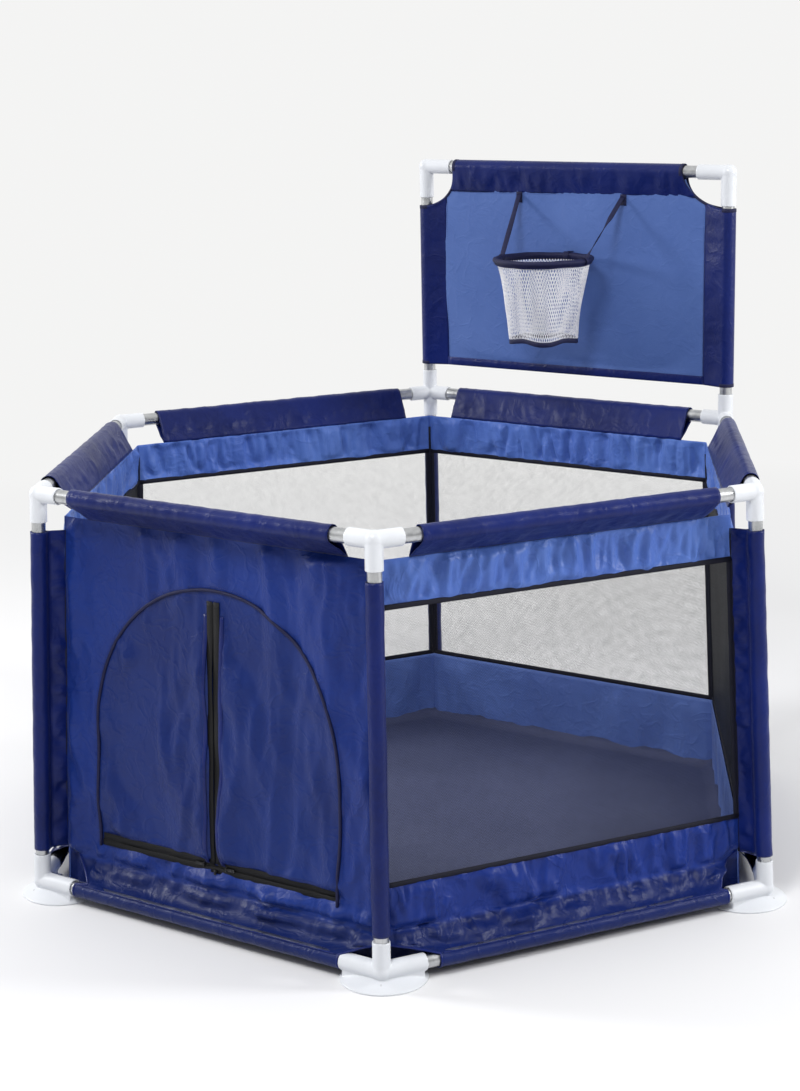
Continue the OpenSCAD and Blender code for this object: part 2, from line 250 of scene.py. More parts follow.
def cloth(name, base, dark, light, rough=0.36, crinkle=1.0, tints=()):
    """Coated plain-weave polyester: weave, crisp small creases, and a soft uneven colour."""
    n = Nodes(name)
    fine = n.noise(140.0, 3.0, 0.7)
    colour = n.mottled(n.noise(5.0, 4.0, 0.6), 0.35, 0.65, rgb(*dark), rgb(*base))
    colour = n.mottled(fine, 0.45, 0.75, colour, rgb(*light), 0.16)
    for tint in tints:
        colour = tint(n, colour)
    ridge = n.maths("ABSOLUTE", n.maths("SUBTRACT", n.noise(24.0, 3.0, 0.5, 0.6), 0.5))
    normal = n.bump(n.ramp(ridge, 0.0, 0.07, 1.0, 0.0), 0.34 * crinkle, 0.0018)
    normal = n.bump(n.noise(75.0, 4.0, 0.6, 0.8), 0.12 * crinkle, 0.0014, Normal=normal)
    return n.done(Base_Color=colour, Roughness=n.ramp(fine, 0.3, 0.7, rough - 0.05, rough + 0.08),
                  Normal=n.weave(0.0009, 0.25, 0.00012, Normal=normal), Sheen_Weight=0.06,
                  Sheen_Roughness=0.4, Specular_IOR_Level=0.24)


def plastic():
    n = Nodes("white_plastic")
    colour = n.mottled(n.noise(9.0, 4.0), 0.3, 0.7, rgb(210, 213, 218), rgb(220, 223, 228))
    colour = n.mottled(n.noise(320.0, 2.0, 0.8), 0.55, 0.85, colour, rgb(192, 194, 199), 0.22)
    normal = n.bump(n.noise(260.0, 3.0, 0.6), 0.12, 0.0003)
    return n.done(Base_Color=colour, Roughness=n.ramp(n.noise(60.0), 0.3, 0.7, 0.28, 0.42),
                  Normal=n.bump(n.noise(40.0, 2.0), 0.12, 0.0008, Normal=normal),
                  Coat_Weight=0.15, Coat_Roughness=0.2)


def steel():
    n = Nodes("steel_tube")
    streak = n.noise(1.0, 3.0, 0.6, where=n.vector("MULTIPLY", n.place, (900.0, 900.0, 18.0)))
    blotch = n.noise(55.0, 4.0, 0.6)
    colour = n.mottled(blotch, 0.35, 0.7, rgb(176, 178, 180), rgb(206, 207, 208))
    colour = n.mottled(streak, 0.55, 0.8, colour, rgb(128, 128, 126), 0.5)
    return n.done(Base_Color=colour, Metallic=1.0, Roughness=n.ramp(blotch, 0.3, 0.7, 0.24, 0.40),
                  Normal=n.bump(streak, 0.15, 0.0002))


def netting(name, pitch, hole, yarn, grazing):
    """Warp-knit net: round holes `pitch` metres apart in a honeycomb, cut through the sheet."""
    n = Nodes(name)
    scaled = n.cut(1 / pitch)
    cell, back = (0.5, 0.8660254, 0.5), (-0.5, -0.8660254, -0.5)
    holes = [n.vector("WRAP", where, cell, back)
             for where in (scaled, n.vector("ADD", scaled, (0.5, 0.8660254, 0.0)))]
    nearest = n.maths("MINIMUM", *[n.length(n.vector("MULTIPLY", v, (1.0, 1.0, 0.0))) for v in holes])
    facing = n.add("ShaderNodeLayerWeight", Blend=0.5).outputs["Facing"]
    closing = n.maths("MULTIPLY", n.maths("POWER", facing, 2.2), grazing)
    wobble = n.ramp(n.noise(70.0, 2.0), 0.3, 0.7, hole - 0.012, hole + 0.012)
    edge = n.maths("SUBTRACT", nearest, n.maths("SUBTRACT", wobble, closing))
    shade = n.mottled(edge, 0.0, 0.14, tuple(c * 0.6 for c in yarn[:3]) + (1.0,), yarn)
    return n.done(Base_Color=shade, Alpha=n.ramp(edge, -0.03, 0.03), Roughness=0.6,
                  Normal=n.bump(edge, 0.5, 0.0006), Specular_IOR_Level=0.2)


def tape(name, base, light, rib=0.0011, rough=0.6):
    """Woven binding tape with ribs across it."""
    n = Nodes(name)
    ribs = n.maths("SINE", n.parts(n.cut(2 * math.pi / rib))[1])
    fine = n.noise(160.0, 3.0, 0.7)
    colour = n.mottled(fine, 0.35, 0.75, rgb(*base), rgb(*light), 0.6)
    normal = n.bump(fine, 0.25, 0.0005, Normal=n.bump(ribs, 0.35, 0.00018))
    return n.done(Base_Color=colour, Roughness=rough, Normal=normal, Specular_IOR_Level=0.3)


def yarn_white():
    n = Nodes("net_yarn")
    fine = n.noise(420.0, 3.0, 0.7)
    colour = n.mottled(fine, 0.3, 0.7, rgb(222, 222, 228), rgb(244, 244, 248))
    return n.done(Base_Color=colour, Roughness=0.7, Normal=n.bump(fine, 0.4, 0.0004), Sheen_Weight=0.3)


def coated_metal():
    n = Nodes("zip_metal")
    chips = n.ramp(n.noise(700.0, 3.0, 0.7), 0.60, 0.72)
    return n.done(Base_Color=n.mix(chips, rgb(34, 34, 36), rgb(150, 150, 152)), Metallic=0.6,
                  Roughness=n.ramp(chips, 0, 1, 0.34, 0.26), Normal=n.bump(n.noise(900.0, 2.0), 0.1, 0.0001))


def gate_mark():
    n = Nodes("gate_mark")
    colour = n.mottled(n.noise(900.0), 0.4, 0.6, rgb(150, 150, 152), rgb(186, 186, 188))
    return n.done(Base_Color=colour, Roughness=0.5)


def floor_cloth():
    n = Nodes("mat_fabric")
    colour = n.mottled(n.noise(3.0, 4.0, 0.6), 0.3, 0.7, rgb(63, 69, 101), rgb(78, 84, 116))
    colour = n.mottled(n.noise(260.0, 3.0, 0.8), 0.4, 0.7, colour, rgb(50, 55, 82), 0.5)
    normal = n.bump(n.noise(30.0, 3.0, 0.5, 0.8), 0.35, 0.003)
    return n.done(Base_Color=colour, Roughness=0.62, Normal=n.weave(0.0011, 0.3, 0.00015, Normal=normal),
                  Specular_IOR_Level=0.3)


def studio_floor():
    """A pale floor that passes into the paper backdrop."""
    n = Nodes("studio_floor")
    away = n.ramp(n.length(n.place), 1.2, 3.4)
    colour = n.mottled(n.noise(0.6, 3.0), 0.3, 0.7, (0.74, 0.74, 0.75, 1), (0.77, 0.77, 0.78, 1))
    return n.done(Base_Color=n.mix(away, colour, BLACK), Roughness=0.9, Specular_IOR_Level=0.0,
                  Emission_Color=n.mix(away, BLACK, PAPER), Emission_Strength=1.0)


COVER = cloth("cover_fabric", (20, 47, 127), (12, 36, 108), (35, 66, 150), 0.38, tints=[hem_tint])
DOOR_COVER = cloth("door_fabric", (17, 46, 122), (10, 35, 104), (32, 65, 144), 0.38,
                   tints=[doorway_tint, hem_tint])
# Painted light: a lighter copy of the cover fabric for the gathered bands, painting the light that shines through the
# thin cloth from behind.
BAND_PAINTED_BACKLIGHT = cloth("band_fabric_painted_backlight", (84, 116, 190), (70, 100, 178), (104, 136, 206))
# Painted light: a lighter copy of the cover fabric for the back walls' inner faces, painting the light that shines
# through the single-layer cloth.
INNER_PAINTED_LIGHT = cloth("inner_fabric_painted_light", (94, 121, 190), (84, 109, 178), (106, 133, 200), 0.5)
SLEEVE = cloth("sleeve_fabric", (5, 27, 98), (3, 19, 78), (15, 40, 118), crinkle=0.6)
BOARD = cloth("board_fabric", (79, 106, 168), (71, 98, 160), (90, 116, 178), 0.5, 0.5)
WINDOW = netting("window_mesh", 0.0026, 0.480, rgb(20, 21, 24), 0.62)
MAT = floor_cloth()
NET = yarn_white()
WEBBING = tape("webbing", (14, 17, 54), (26, 30, 74))
BINDING = tape("binding_tape", (8, 9, 26), (16, 18, 42), rough=0.7)
ZIP_TAPE = tape("zip_tape", (3, 3, 5), (9, 9, 12), rib=0.0008)
THREAD = tape("thread", (44, 48, 110), (70, 76, 140), rib=0.0004)
METAL, STEEL, PLASTIC, GATE_MARK = coated_metal(), steel(), plastic(), gate_mark()


# ---- mesh makers ----

def added(name, mesh):
    obj = bpy.data.objects.new(name, mesh)
    SCENE.collection.objects.link(obj)
    return obj


def smoothed(mesh, material=None):
    if material:
        mesh.materials.clear()
        mesh.materials.append(material)
    mesh.polygons.foreach_set("use_smooth", [True] * len(mesh.polygons))
    return mesh


def mesh_object(name, points, faces, material, cut=None, smooth=True):
    mesh = bpy.data.meshes.new(name)
    mesh.from_pydata([tuple(p) for p in points], [], [tuple(f) for f in faces])
    mesh.materials.append(material)
    if cut is not None:
        layer = mesh.uv_layers.new(name="cut")
        corners = np.empty(len(mesh.loops), np.int32)
        mesh.loops.foreach_get("vertex_index", corners)
        layer.data.foreach_set("uv", np.asarray(cut, np.float32)[corners].ravel())
    return added(name, smoothed(mesh) if smooth else mesh)


def grid_faces(rows, columns, closed=False):
    faces = []
    for r in range(rows - 1):
        for c in range(columns if closed else columns - 1):
            d = (c + 1) % columns
            faces.append((r * columns + c, r * columns + d, (r + 1) * columns + d, (r + 1) * columns + c))
    return faces


def unit(ways):
    """The same directions, one to a row, each 1 long."""
    return ways / np.linalg.norm(ways, axis=1)[:, None]


def run_of(line):
    """How far along a line each of its points is."""
    return np.concatenate([[0], np.cumsum(np.linalg.norm(np.diff(line, axis=0), axis=1))])


def stack(*parts):
    """A grid of points from its coordinates, each a number, a row, a column or a whole grid."""
    return np.stack(np.broadcast_arrays(*parts), 2)


def placed(matrix, points):
    m, points = np.array(matrix), np.asarray(points, float)
    return (points.reshape(-1, 3) @ m[:3, :3].T + m[:3, 3]).reshape(points.shape)


def heading(matrix, way):
    """A direction given in a frame, in the scene."""
    return np.array(matrix.to_3x3() @ Vector(way))


def local_points(obj, matrix):
    co = np.empty(len(obj.data.vertices) * 3)
    obj.data.vertices.foreach_get("co", co)
    return placed(matrix.inverted(), co.reshape(-1, 3))


def move_points(obj, matrix, local):
    obj.data.vertices.foreach_set("co", placed(matrix, local).ravel())


def sheet_object(name, matrix, points, cut, material):
    """A cloth from a grid of points, rows by columns by 3, and where each point is in the flat cut."""
    rows, columns = points.shape[:2]
    return mesh_object(name, placed(matrix, points).reshape(-1, 3), grid_faces(rows, columns), material,
                       cut.reshape(-1, 2))


def thicken(obj, thickness=CLOTH, offset=-1.0):
    """Gives a cloth its two faces and its cut edge."""
    modifier = obj.modifiers.new("thickness", "SOLIDIFY")
    modifier.thickness, modifier.offset, modifier.use_even_offset = thickness, offset, False


def sweep(name, path, outward, section, material, closed=False):
    """Carries a closed section along a path. outward is the section's second axis at each point."""
    path = np.asarray(path, float)
    along = unit(np.roll(path, -1, 0) - np.roll(path, 1, 0) if closed else np.gradient(path, axis=0))
    across = unit(np.cross(along, np.broadcast_to(np.asarray(outward, float), path.shape)))
    up = np.cross(across, along)
    m, k, section = len(section), len(path), np.array(section)
    points = path[:, None] + section[:, :1] * across[:, None] + section[:, 1:] * up[:, None]
    cut = stack(np.linspace(0, 1, m) * 0.01, run_of(path)[:, None])
    faces = grid_faces(k, m, closed=True)
    if closed:
        faces += [((k - 1) * m + j, (k - 1) * m + (j + 1) % m, (j + 1) % m, j) for j in range(m)]
    else:
        faces += [tuple(range(m - 1, -1, -1)), tuple((k - 1) * m + j for j in range(m))]
    return mesh_object(name, points.reshape(-1, 3), faces, material, cut.reshape(-1, 2))


def strip(name, path, outward, width, height, material, closed=False):
    """A tape with rounded edges, swept along a path."""
    w, h, b = width / 2, height / 2, min(width, height) * 0.3
    section = [(w, -h + b), (w, h - b), (w - b, h), (-w + b, h), (-w, h - b), (-w, -h + b), (-w + b, -h), (w - b, -h)]
    return sweep(name, path, outward, section, material, closed)


def circle(count, radius=1.0, centre=(0.0, 0.0)):
    angles = [2 * math.pi * i / count for i in range(count)]
    return [(centre[0] + radius * math.cos(a), centre[1] + radius * math.sin(a)) for a in angles]


def join(name, objects):
    """Joins several meshes into one piece."""
    first = objects[0]
    with bpy.context.temp_override(active_object=first, selected_editable_objects=objects,
                                   object=first, selected_objects=objects):
        bpy.ops.object.join()
    first.name = first.data.name = name
    return first


def shown(obj, body, slot, *nodes):
    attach(obj, body)
    if nodes:
        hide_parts(*nodes)
    return obj


def wavy(points, seed, scale=1.0):
    """Smooth noise between -1 and 1 at each point."""
    shift = Vector((seed * 7.31, seed * 3.77, seed * 5.13))
    flat = (points * np.array(scale)).reshape(-1, 3)
    return np.array([noise.noise(Vector(p) + shift) for p in flat]).reshape(points.shape[:-1])


def creased(points, seed, scale=1.0, sharp=4.0):
    """Ridged noise from 0 to 1, high along thin wandering lines."""
    return 1 - np.clip(np.abs(wavy(points, seed, scale)) * sharp, 0, 1)


def stitches(name, lines, body):
    """Sewing stitches along lines, each a list of points and the direction the cloth faces."""
    pitch, length, radius = 0.0034, 0.0023, 0.00034
    points, faces, cut = [], [], []
    for line, facing in lines:
        line, facing = np.asarray(line, float), np.asarray(facing, float)
        run = run_of(line)
        for i in range(int(run[-1] / pitch)):
            start, end = (np.array([np.interp(s, run, line[:, k]) for k in range(3)])
                          for s in (i * pitch, i * pitch + length))
            side = np.cross((end - start) / max(np.linalg.norm(end - start), 1e-9), facing)
            side *= radius * 1.3 / max(np.linalg.norm(side), 1e-9)
            lift, mid, base = facing * radius, (start + end) / 2, len(points)
            points += [start, end, mid + side, mid - side, mid + lift * 1.6, mid - lift]
            for a, b in ((2, 4), (4, 3), (3, 5), (5, 2)):
                faces += [(base, base + a, base + b), (base + 1, base + b, base + a)]
            cut += [(0.0, i * pitch)] * 6
    return shown(mesh_object(name, points, faces, THREAD, cut), body, "sleeve_fabric")


# ---- cloth simulation ----

FRAMES = 28
SIMULATED = []


def simulate_later(obj, held, cut, bending):
    """Lets the cloth settle from its cut lengths, with its held points pinned."""
    group = obj.vertex_groups.new(name="held")
    held = held.ravel()
    for weight in np.unique(held[held > 0]):
        group.add(np.nonzero(held == weight)[0].tolist(), float(weight), "REPLACE")
    obj.shape_key_add(name="Basis")
    key = obj.shape_key_add(name="cut")
    at = np.zeros((held.size, 3), np.float32)
    at[:, ::2] = cut.reshape(-1, 2)
    key.data.foreach_set("co", at.ravel())
    key.value = 0.0
    modifier = obj.modifiers.new("settle", "CLOTH")
    s = modifier.settings
    s.quality, s.mass = 5, 0.12
    s.tension_stiffness = s.compression_stiffness = 20
    s.shear_stiffness, s.bending_stiffness = 8, bending
    s.tension_damping = s.compression_damping = 12
    s.shear_damping, s.bending_damping, s.air_damping = 8, 1.0, 2.5
    s.vertex_group_mass, s.pin_stiffness, s.rest_shape_key = "held", 2.0, key
    modifier.collision_settings.use_collision = modifier.collision_settings.use_self_collision = False
    modifier.point_cache.frame_start, modifier.point_cache.frame_end = 1, FRAMES
    SIMULATED.append(obj)


def simulate():
    if not SIMULATED:
        return
    SCENE.frame_start, SCENE.frame_end = 1, FRAMES
    for number in range(1, FRAMES + 1):
        SCENE.frame_set(number)
    graph = bpy.context.evaluated_depsgraph_get()
    for obj in SIMULATED:
        settled = bpy.data.meshes.new_from_object(obj.evaluated_get(graph))
        obj.modifiers.clear()
        obj.shape_key_clear()
        obj.data = settled
        obj.vertex_groups.clear()
    SCENE.frame_set(1)
    for obj in SIMULATED:
        obj.data.update()


def ease(t):
    t = np.clip(t, 0, 1)
    return t * t * (3 - 2 * t)


def belt(count, edge):
    """1 along the middle of a run of rows or columns, falling to 0 at both ends."""
    i = np.arange(count)
    return ease(np.minimum(i, count - 1 - i) / edge)


def sleeve_section(centre, seam, legs, arc, over=True):
    """A sleeve's section, in (y, z): from its seam, round the tube and back to the seam.
    Gives the points, and how near each is to the tube, from 0 at the seam to 1 on the tube."""
    centre, seam = np.array(centre), np.array(seam)
    gap = seam - centre
    base, half = math.atan2(gap[1], gap[0]), math.acos(SLEEVE_R / np.linalg.norm(gap))
    first, last = (base + half, base - half + 2 * math.pi) if over else \
        (base - half, base + half - 2 * math.pi)
    angles = np.linspace(first, last, arc)
    ring = centre + SLEEVE_R * np.stack([np.cos(angles), np.sin(angles)], 1)
    t = np.linspace(0, 1, legs, endpoint=False)[:, None]
    back = (seam + (ring[-1] - seam) * t)[::-1]
    near = np.concatenate([t[:, 0], np.ones(arc), t[::-1, 0]])
    return np.concatenate([seam + (ring[0] - seam) * t, ring, back]), near


def spread_columns(halves, count):
    """Columns that stay upright in the middle and follow the cloth's own width near its two ends.
    halves holds the length on each side of the middle, row by row."""
    u = np.linspace(-1, 1, count)
    widest = max(h.max() for h in halves)
    half = np.where(u < 0, halves[0][:, None], halves[1][:, None])
    return u * widest - np.sign(u) * (widest - half) * ease((np.abs(u) - 0.55) / 0.45)


def gathers(x, run, seed, wave, drift=0.0):
    """Puckers across a gathered cloth, wandering a little as they run down it."""
    flat = stack(x / wave + run * drift, run / (wave * 3.2), 0.0)
    return wavy(flat, seed) * 1.5 + wavy(flat * np.array([2.1, 1.6, 1.0]), seed + 5) * 0.5


# ---- moulded plastic and metal ----

def moulded(node, name):
    """The CAD connector with the small fillets that a moulding has."""
    mesh = NODES[node].data.copy()
    mesh.materials.clear()
    mesh.materials.append(PLASTIC)
    obj = added(name, mesh)
    obj.modifiers.new("weld", "WELD").merge_threshold = 1e-6
    remesh = obj.modifiers.new("remesh", "REMESH")
    remesh.mode, remesh.voxel_size = "VOXEL", 0.0011
    soften = obj.modifiers.new("soften", "SMOOTH")
    soften.factor, soften.iterations = 0.5, 5
    obj.modifiers.new("thin", "DECIMATE").ratio = 0.3
    final = bpy.data.meshes.new_from_object(obj.evaluated_get(bpy.context.evaluated_depsgraph_get()))
    bpy.data.objects.remove(obj)
    final.name = name
    return smoothed(final)


def place_copy(mesh, name, matrix, body, node):
    obj = added(name, mesh)
    obj.matrix_world = matrix
    shown(obj, body, "white_plastic", node)


corner_mesh, board_corner_mesh = moulded("top_connector_1", "corner"), moulded("top_connector_2", "board_corner")
foot_mesh, elbow_mesh = moulded("foot_connector_1", "foot"), moulded("board_elbow_right", "elbow")
for n in range(1, 7):
    mesh, back = (board_corner_mesh, 2) if n in (2, 3) else (corner_mesh, 1)
    place_copy(mesh, f"corner_joint_{n}", turn(60 * (n - back)), "frame", f"top_connector_{n}")
    place_copy(foot_mesh, f"foot_joint_{n}", turn(60 * (n - 1)), "frame", f"foot_connector_{n}")
about_board = Matrix.Translation((0, BOARD_Y, 0)) @ turn(180) @ Matrix.Translation((0, -BOARD_Y, 0))
place_copy(elbow_mesh, "elbow_right", Matrix(), "hoop_board", "board_elbow_right")
place_copy(elbow_mesh, "elbow_left", about_board, "hoop_board", "board_elbow_left")

for name, node in NODES.items():
    if name.startswith(("zip_", "post_tube", "top_rail", "bottom_rail", "board_post", "board_top_tube")):
        node.data.materials.clear()
        node.data.materials.append(METAL if name.startswith("zip_") else STEEL)


# ---- the cover's walls ----

def top_sleeve(n):
    section, near = sleeve_section((RAIL_Y, RAIL_Z), (WALL_Y, WALL_Z), 9, 15)
    x, run = np.linspace(-TOP_HALF, TOP_HALF, 120), run_of(section)
    points = stack(x, section[:, :1], section[:, 1:])
    across = unit(section - np.array([(RAIL_Y + WALL_Y) / 2, (RAIL_Z + WALL_Z) / 2]))
    pulls = wavy(points, 3 + n, (34, 10, 10)) * 0.0038 + creased(points, 30 + n, (26, 30, 30)) * 0.0022
    tight = wavy(points, 60 + n, (60, 30, 30)) * 0.0008 + creased(points, 66 + n, (44, 20, 20)) * 0.0005
    amount = pulls * (np.sin(np.pi * near) ** 0.8)[:, None] + tight
    points[..., 1:] += amount[..., None] * across[:, None]
    obj = sheet_object(f"top_sleeve_{n}", side_frame(n), points, stack(x, run[:, None]), SLEEVE)
    thicken(obj)
    shown(obj, "frame", "sleeve_fabric")


def upper_band(n):
    """The gathered band between the top seam and the window."""
    rows, columns = 20, 180
    v = np.linspace(0.0, BAND_V, rows)[:, None]
    half = half_cloth(v[:, 0])
    x = spread_columns((half, half), columns)
    free = (0.12 + 0.88 * belt(rows, 2)[:, None] * belt(columns, 3)) * belt(columns, 2)
    points = stack(x, gathers(x, -v, n * 3, 0.026, 3.0) * 0.0042 * free, v)
    # the band's lighter fabric is painted backlight
    obj = sheet_object(f"upper_band_{n}", wall_frame(n), points, stack(x, v), BAND_PAINTED_BACKLIGHT)
    held = np.ones((rows, columns))
    held[1:-1, 1:-1] = 0
    simulate_later(obj, held, stack(x * 1.085, v * 1.04), 0.2)
    shown(obj, "frame", "cover_fabric", f"wall_cloth_{n}")


def window(n):
    rows, columns = 34, 48
    v, u = np.linspace(BAND_V, SILL_V, rows), np.linspace(-1, 1, columns)
    half = half_cloth(v)
    free = np.sin(np.pi * np.linspace(0, 1, rows))[:, None] * np.cos(u * math.pi / 2)
    points = stack(half[:, None] * u, 0.0, v[:, None])
    points[..., 1] = (wavy(points, 80 + n, 4) * 0.007 * free
                      + wavy(points, 90 + n, (14, 5, 9)) * 0.0016 * np.sqrt(free))
    obj = sheet_object(f"window_net_{n}", wall_frame(n), points, points[..., ::2], WINDOW)
    shown(obj, "frame", "window_mesh", f"mesh_window_{n}")
    ends = (BAND_V, SILL_V)
    lines = [((-half_wall(e) + 0.001, e), (half_wall(e) - 0.001, e), 0.008, 0.0040) for e in ends]
    lines += [(*[(side * (half_wall(e) - 0.004), e) for e in ends], 0.011, 0.0020) for side in (-1, 1)]
    edges = []
    for a, b, width, height in lines:
        line = np.insert(np.linspace(a, b, 40), 1, 0.0, axis=1)
        edges.append(strip("edge", placed(wall_frame(n), line), heading(wall_frame(n), (0, 1, 0)),
                           width, height, BINDING))
    bound = shown(join(f"window_binding_{n}", edges), "frame", "webbing")


def lower_points(v_start):
    """The outside of a wall from a height down to its seam, then out over the bottom rail."""
    seam_y = WALL_Y - SEAM_V * math.sin(LEAN)
    section, near = sleeve_section((FOOT_Y, FOOT_Z), (seam_y, SEAM_Z), 11, 14, over=False)
    down = int(round((v_start - SEAM_V) / 0.0055))
    v = np.linspace(v_start, SEAM_V, down, endpoint=False)
    wall = np.stack([WALL_Y - v * math.sin(LEAN), WALL_Z + v * math.cos(LEAN)], 1)
    return np.concatenate([wall, section]), np.concatenate([np.full(down, -1.0), near]), down


def low_half(n, z, near, side):
    """Half length of a low cloth: its end is cut in towards the bottom rail."""
    tube = FOOT_SIDE / 2 - LOW_ENDS.get(n, (0.080, 0.080))[side > 0]
    tall, back = LOW_CUTS.get((n, side), (0.048, 0.012))
    t = np.clip((z - FOOT_Z - 0.010) / tall, 0, 1)
    return np.where(near >= 0.999, tube, tube - back + (half_cloth(plane_v(z)) - tube + back) * t ** 1.25)


def low_cloth(n, name, v_start, columns, seed, wave, deep, excess, material, bending, broad=0.0):
    """A wall's outside from a height down, and on round the bottom rail, in one sheet."""
    whole, near, down = lower_points(v_start)
    ring, index, run = int(np.argmax(near >= 0.999)), np.arange(len(whole)), run_of(whole)
    halves = [low_half(n, whole[:, 1], near, side) for side in (-1, 1)]
    x = spread_columns(halves, columns)
    way = unit(np.gradient(whole, axis=0))
    at_seam = 1 - 0.55 * np.exp(-((index - down) / 1.6) ** 2)
    free = (ease(index / 3) * ease((ring - index) / 3) * at_seam)[:, None] * belt(columns, 3)
    flat = stack(x, run[:, None], 0.0)
    out = gathers(x, run[:, None], seed, wave, 2.0) * deep * free
    if broad:
        out += (wavy(flat, seed + 1, (7, 5, 1)) * 1.2 + creased(flat, seed + 2, (9, 6, 1)) * 0.5) * broad * free
    slack = (np.exp(-((index - ring + 6) / 2.8) ** 2) * 0.0080
             - np.exp(-((index - ring) / 1.1) ** 2) * 0.0010)
    out += slack[:, None] * belt(columns, 6)
    out += (near >= 0.999)[:, None] * wavy(flat, seed + 9, (40, 60, 1)) * 0.0007
    points = stack(x, whole[:, :1] - out * way[:, 1:], whole[:, 1:] + out * way[:, :1])
    obj = sheet_object(name, side_frame(n), points, stack(x, -run[:, None]), material)
    held = np.zeros(x.shape)
    held[0] = held[ring:] = 1
    held[:, [0, -1]] = 1
    held[down] = np.maximum(held[down], 0.25)
    if n == DOOR:
        hold_zips(obj, points, held)
    steps = np.diff(run, prepend=0)
    steps[:ring + 1] *= excess[1]
    longer = np.cumsum(steps)
    simulate_later(obj, held, stack(x * excess[0], -longer[:, None]), bending)
    return obj, points, down, ring, max(h.max() for h in halves), float(longer.max())


def rumple(name, n, seed, wave, deep, drift=3.0, ceiling=1.0):
    """Adds the crisp gathers and pulled creases that a settled cloth is too smooth for."""
    obj, matrix = bpy.data.objects[name], wall_frame(n)
    local = local_points(obj, matrix)
    x, v = local[:, 0], local[:, 2]
    inside = ease((half_wall(v) - np.abs(x)) / 0.018) * ease((v.max() - v) / 0.014) * ease((ceiling - v) / 0.008)
    if v.min() < SEAM_V:
        inside *= ease(np.abs(v - SEAM_V) / 0.012) * ease((v - FOOT_V - 0.036) / 0.02)
    else:
        inside *= ease((v - v.min()) / 0.014)
    if n == DOOR:
        inside *= np.where((v > DOOR_V - 0.01) & (v < APEX_V + 0.02), ease(np.abs(x) / 0.025), 1.0)
        inside *= np.where(np.abs(x) < DOOR_HALF + 0.01, ease(np.abs(v - DOOR_V) / 0.025), 1.0)
    flat = np.stack([x / wave + v * drift, v / (wave * 3.0), np.zeros_like(x)], 1)
    finer = creased(flat * np.array([1.9, 1.3, 1.0]), seed + 3, sharp=3.0)
    local[:, 1] += (creased(flat, seed, sharp=3.0) * 0.65 + finer * 0.35 - 0.25
                    + wavy(flat, seed + 7, 0.5) * 0.8) * deep * inside
    move_points(obj, matrix, local)


def keep_outside(name, n):
    """Stops a settled cloth from coming through the wall's own plane."""
    obj, matrix = bpy.data.objects[name], wall_frame(n)
    local = local_points(obj, matrix)
    above = local[:, 2] > SEAM_V - 0.01
    local[above, 1] = np.maximum(local[above, 1], -0.0012)
    move_points(obj, matrix, local)


def end_binding(name, n, points, down, ring):
    """Tape over the cut ends of a low cloth, and the seam that closes its tunnel for the rail: a thin navy strip that
    also paints the shade of the crease where the skirt folds over the sleeve.
    """
    matrix, facing = side_frame(n), heading(side_frame(n), (0, 0.7, 0.7))
    # painted shade: the seam strip also stands for the dark crease between the skirt and the sleeve
    seam = placed(matrix, points[ring, 1:-1] + np.array([0, 0.0006, 0.0006]))
    parts = [strip("seam", seam, facing, 0.0018, 0.0009, SLEEVE)]
    parts += [strip("end", placed(matrix, points[down - 2:, column]), facing, 0.0036, 0.0016, SLEEVE)
              for column in (0, -1)]
    return shown(join(name, parts), "frame", "webbing")


def inner_face(n, v_start):
    """The inside of the wall from a height down to the floor cloth."""
    rows, columns = max(10, int(round((v_start - FOOT_V) / 0.007))), 150
    v = np.linspace(v_start, FOOT_V, rows)[:, None]
    half = half_cloth(v)
    x = half * np.linspace(-1, 1, columns)
    loose = belt(columns, 4) * ease(np.arange(rows) / 4)[:, None]
    out = np.clip(gathers(x, v, n + 140, 0.040, 1.0) * 0.0046 - 0.0022, -0.011, 0.0) * loose - 0.0032
    # the back walls' inner faces take the lighter fabric, which is painted light; walls 5 and 6 keep the cover fabric
    obj = sheet_object(f"inner_face_{n}", wall_frame(n), stack(x, out, v), stack(x, v),
                       COVER if n in (5, 6) else INNER_PAINTED_LIGHT)
    thicken(obj)
    shown(obj, "frame", "cover_fabric")


def mesh_wall(n):
    top_sleeve(n)
    upper_band(n)
    window(n)
    low, points, down, ring, widest, tall = low_cloth(
        n, f"lower_cloth_{n}", SILL_V, 180, n * 3 + 50, 0.040, 0.0060, (1.085, 1.03), COVER, 0.25)
    shown(low, "frame", "cover_fabric")
    bound = end_binding(f"lower_binding_{n}", n, points, down, ring)
    inner_face(n, SILL_V - 0.003)


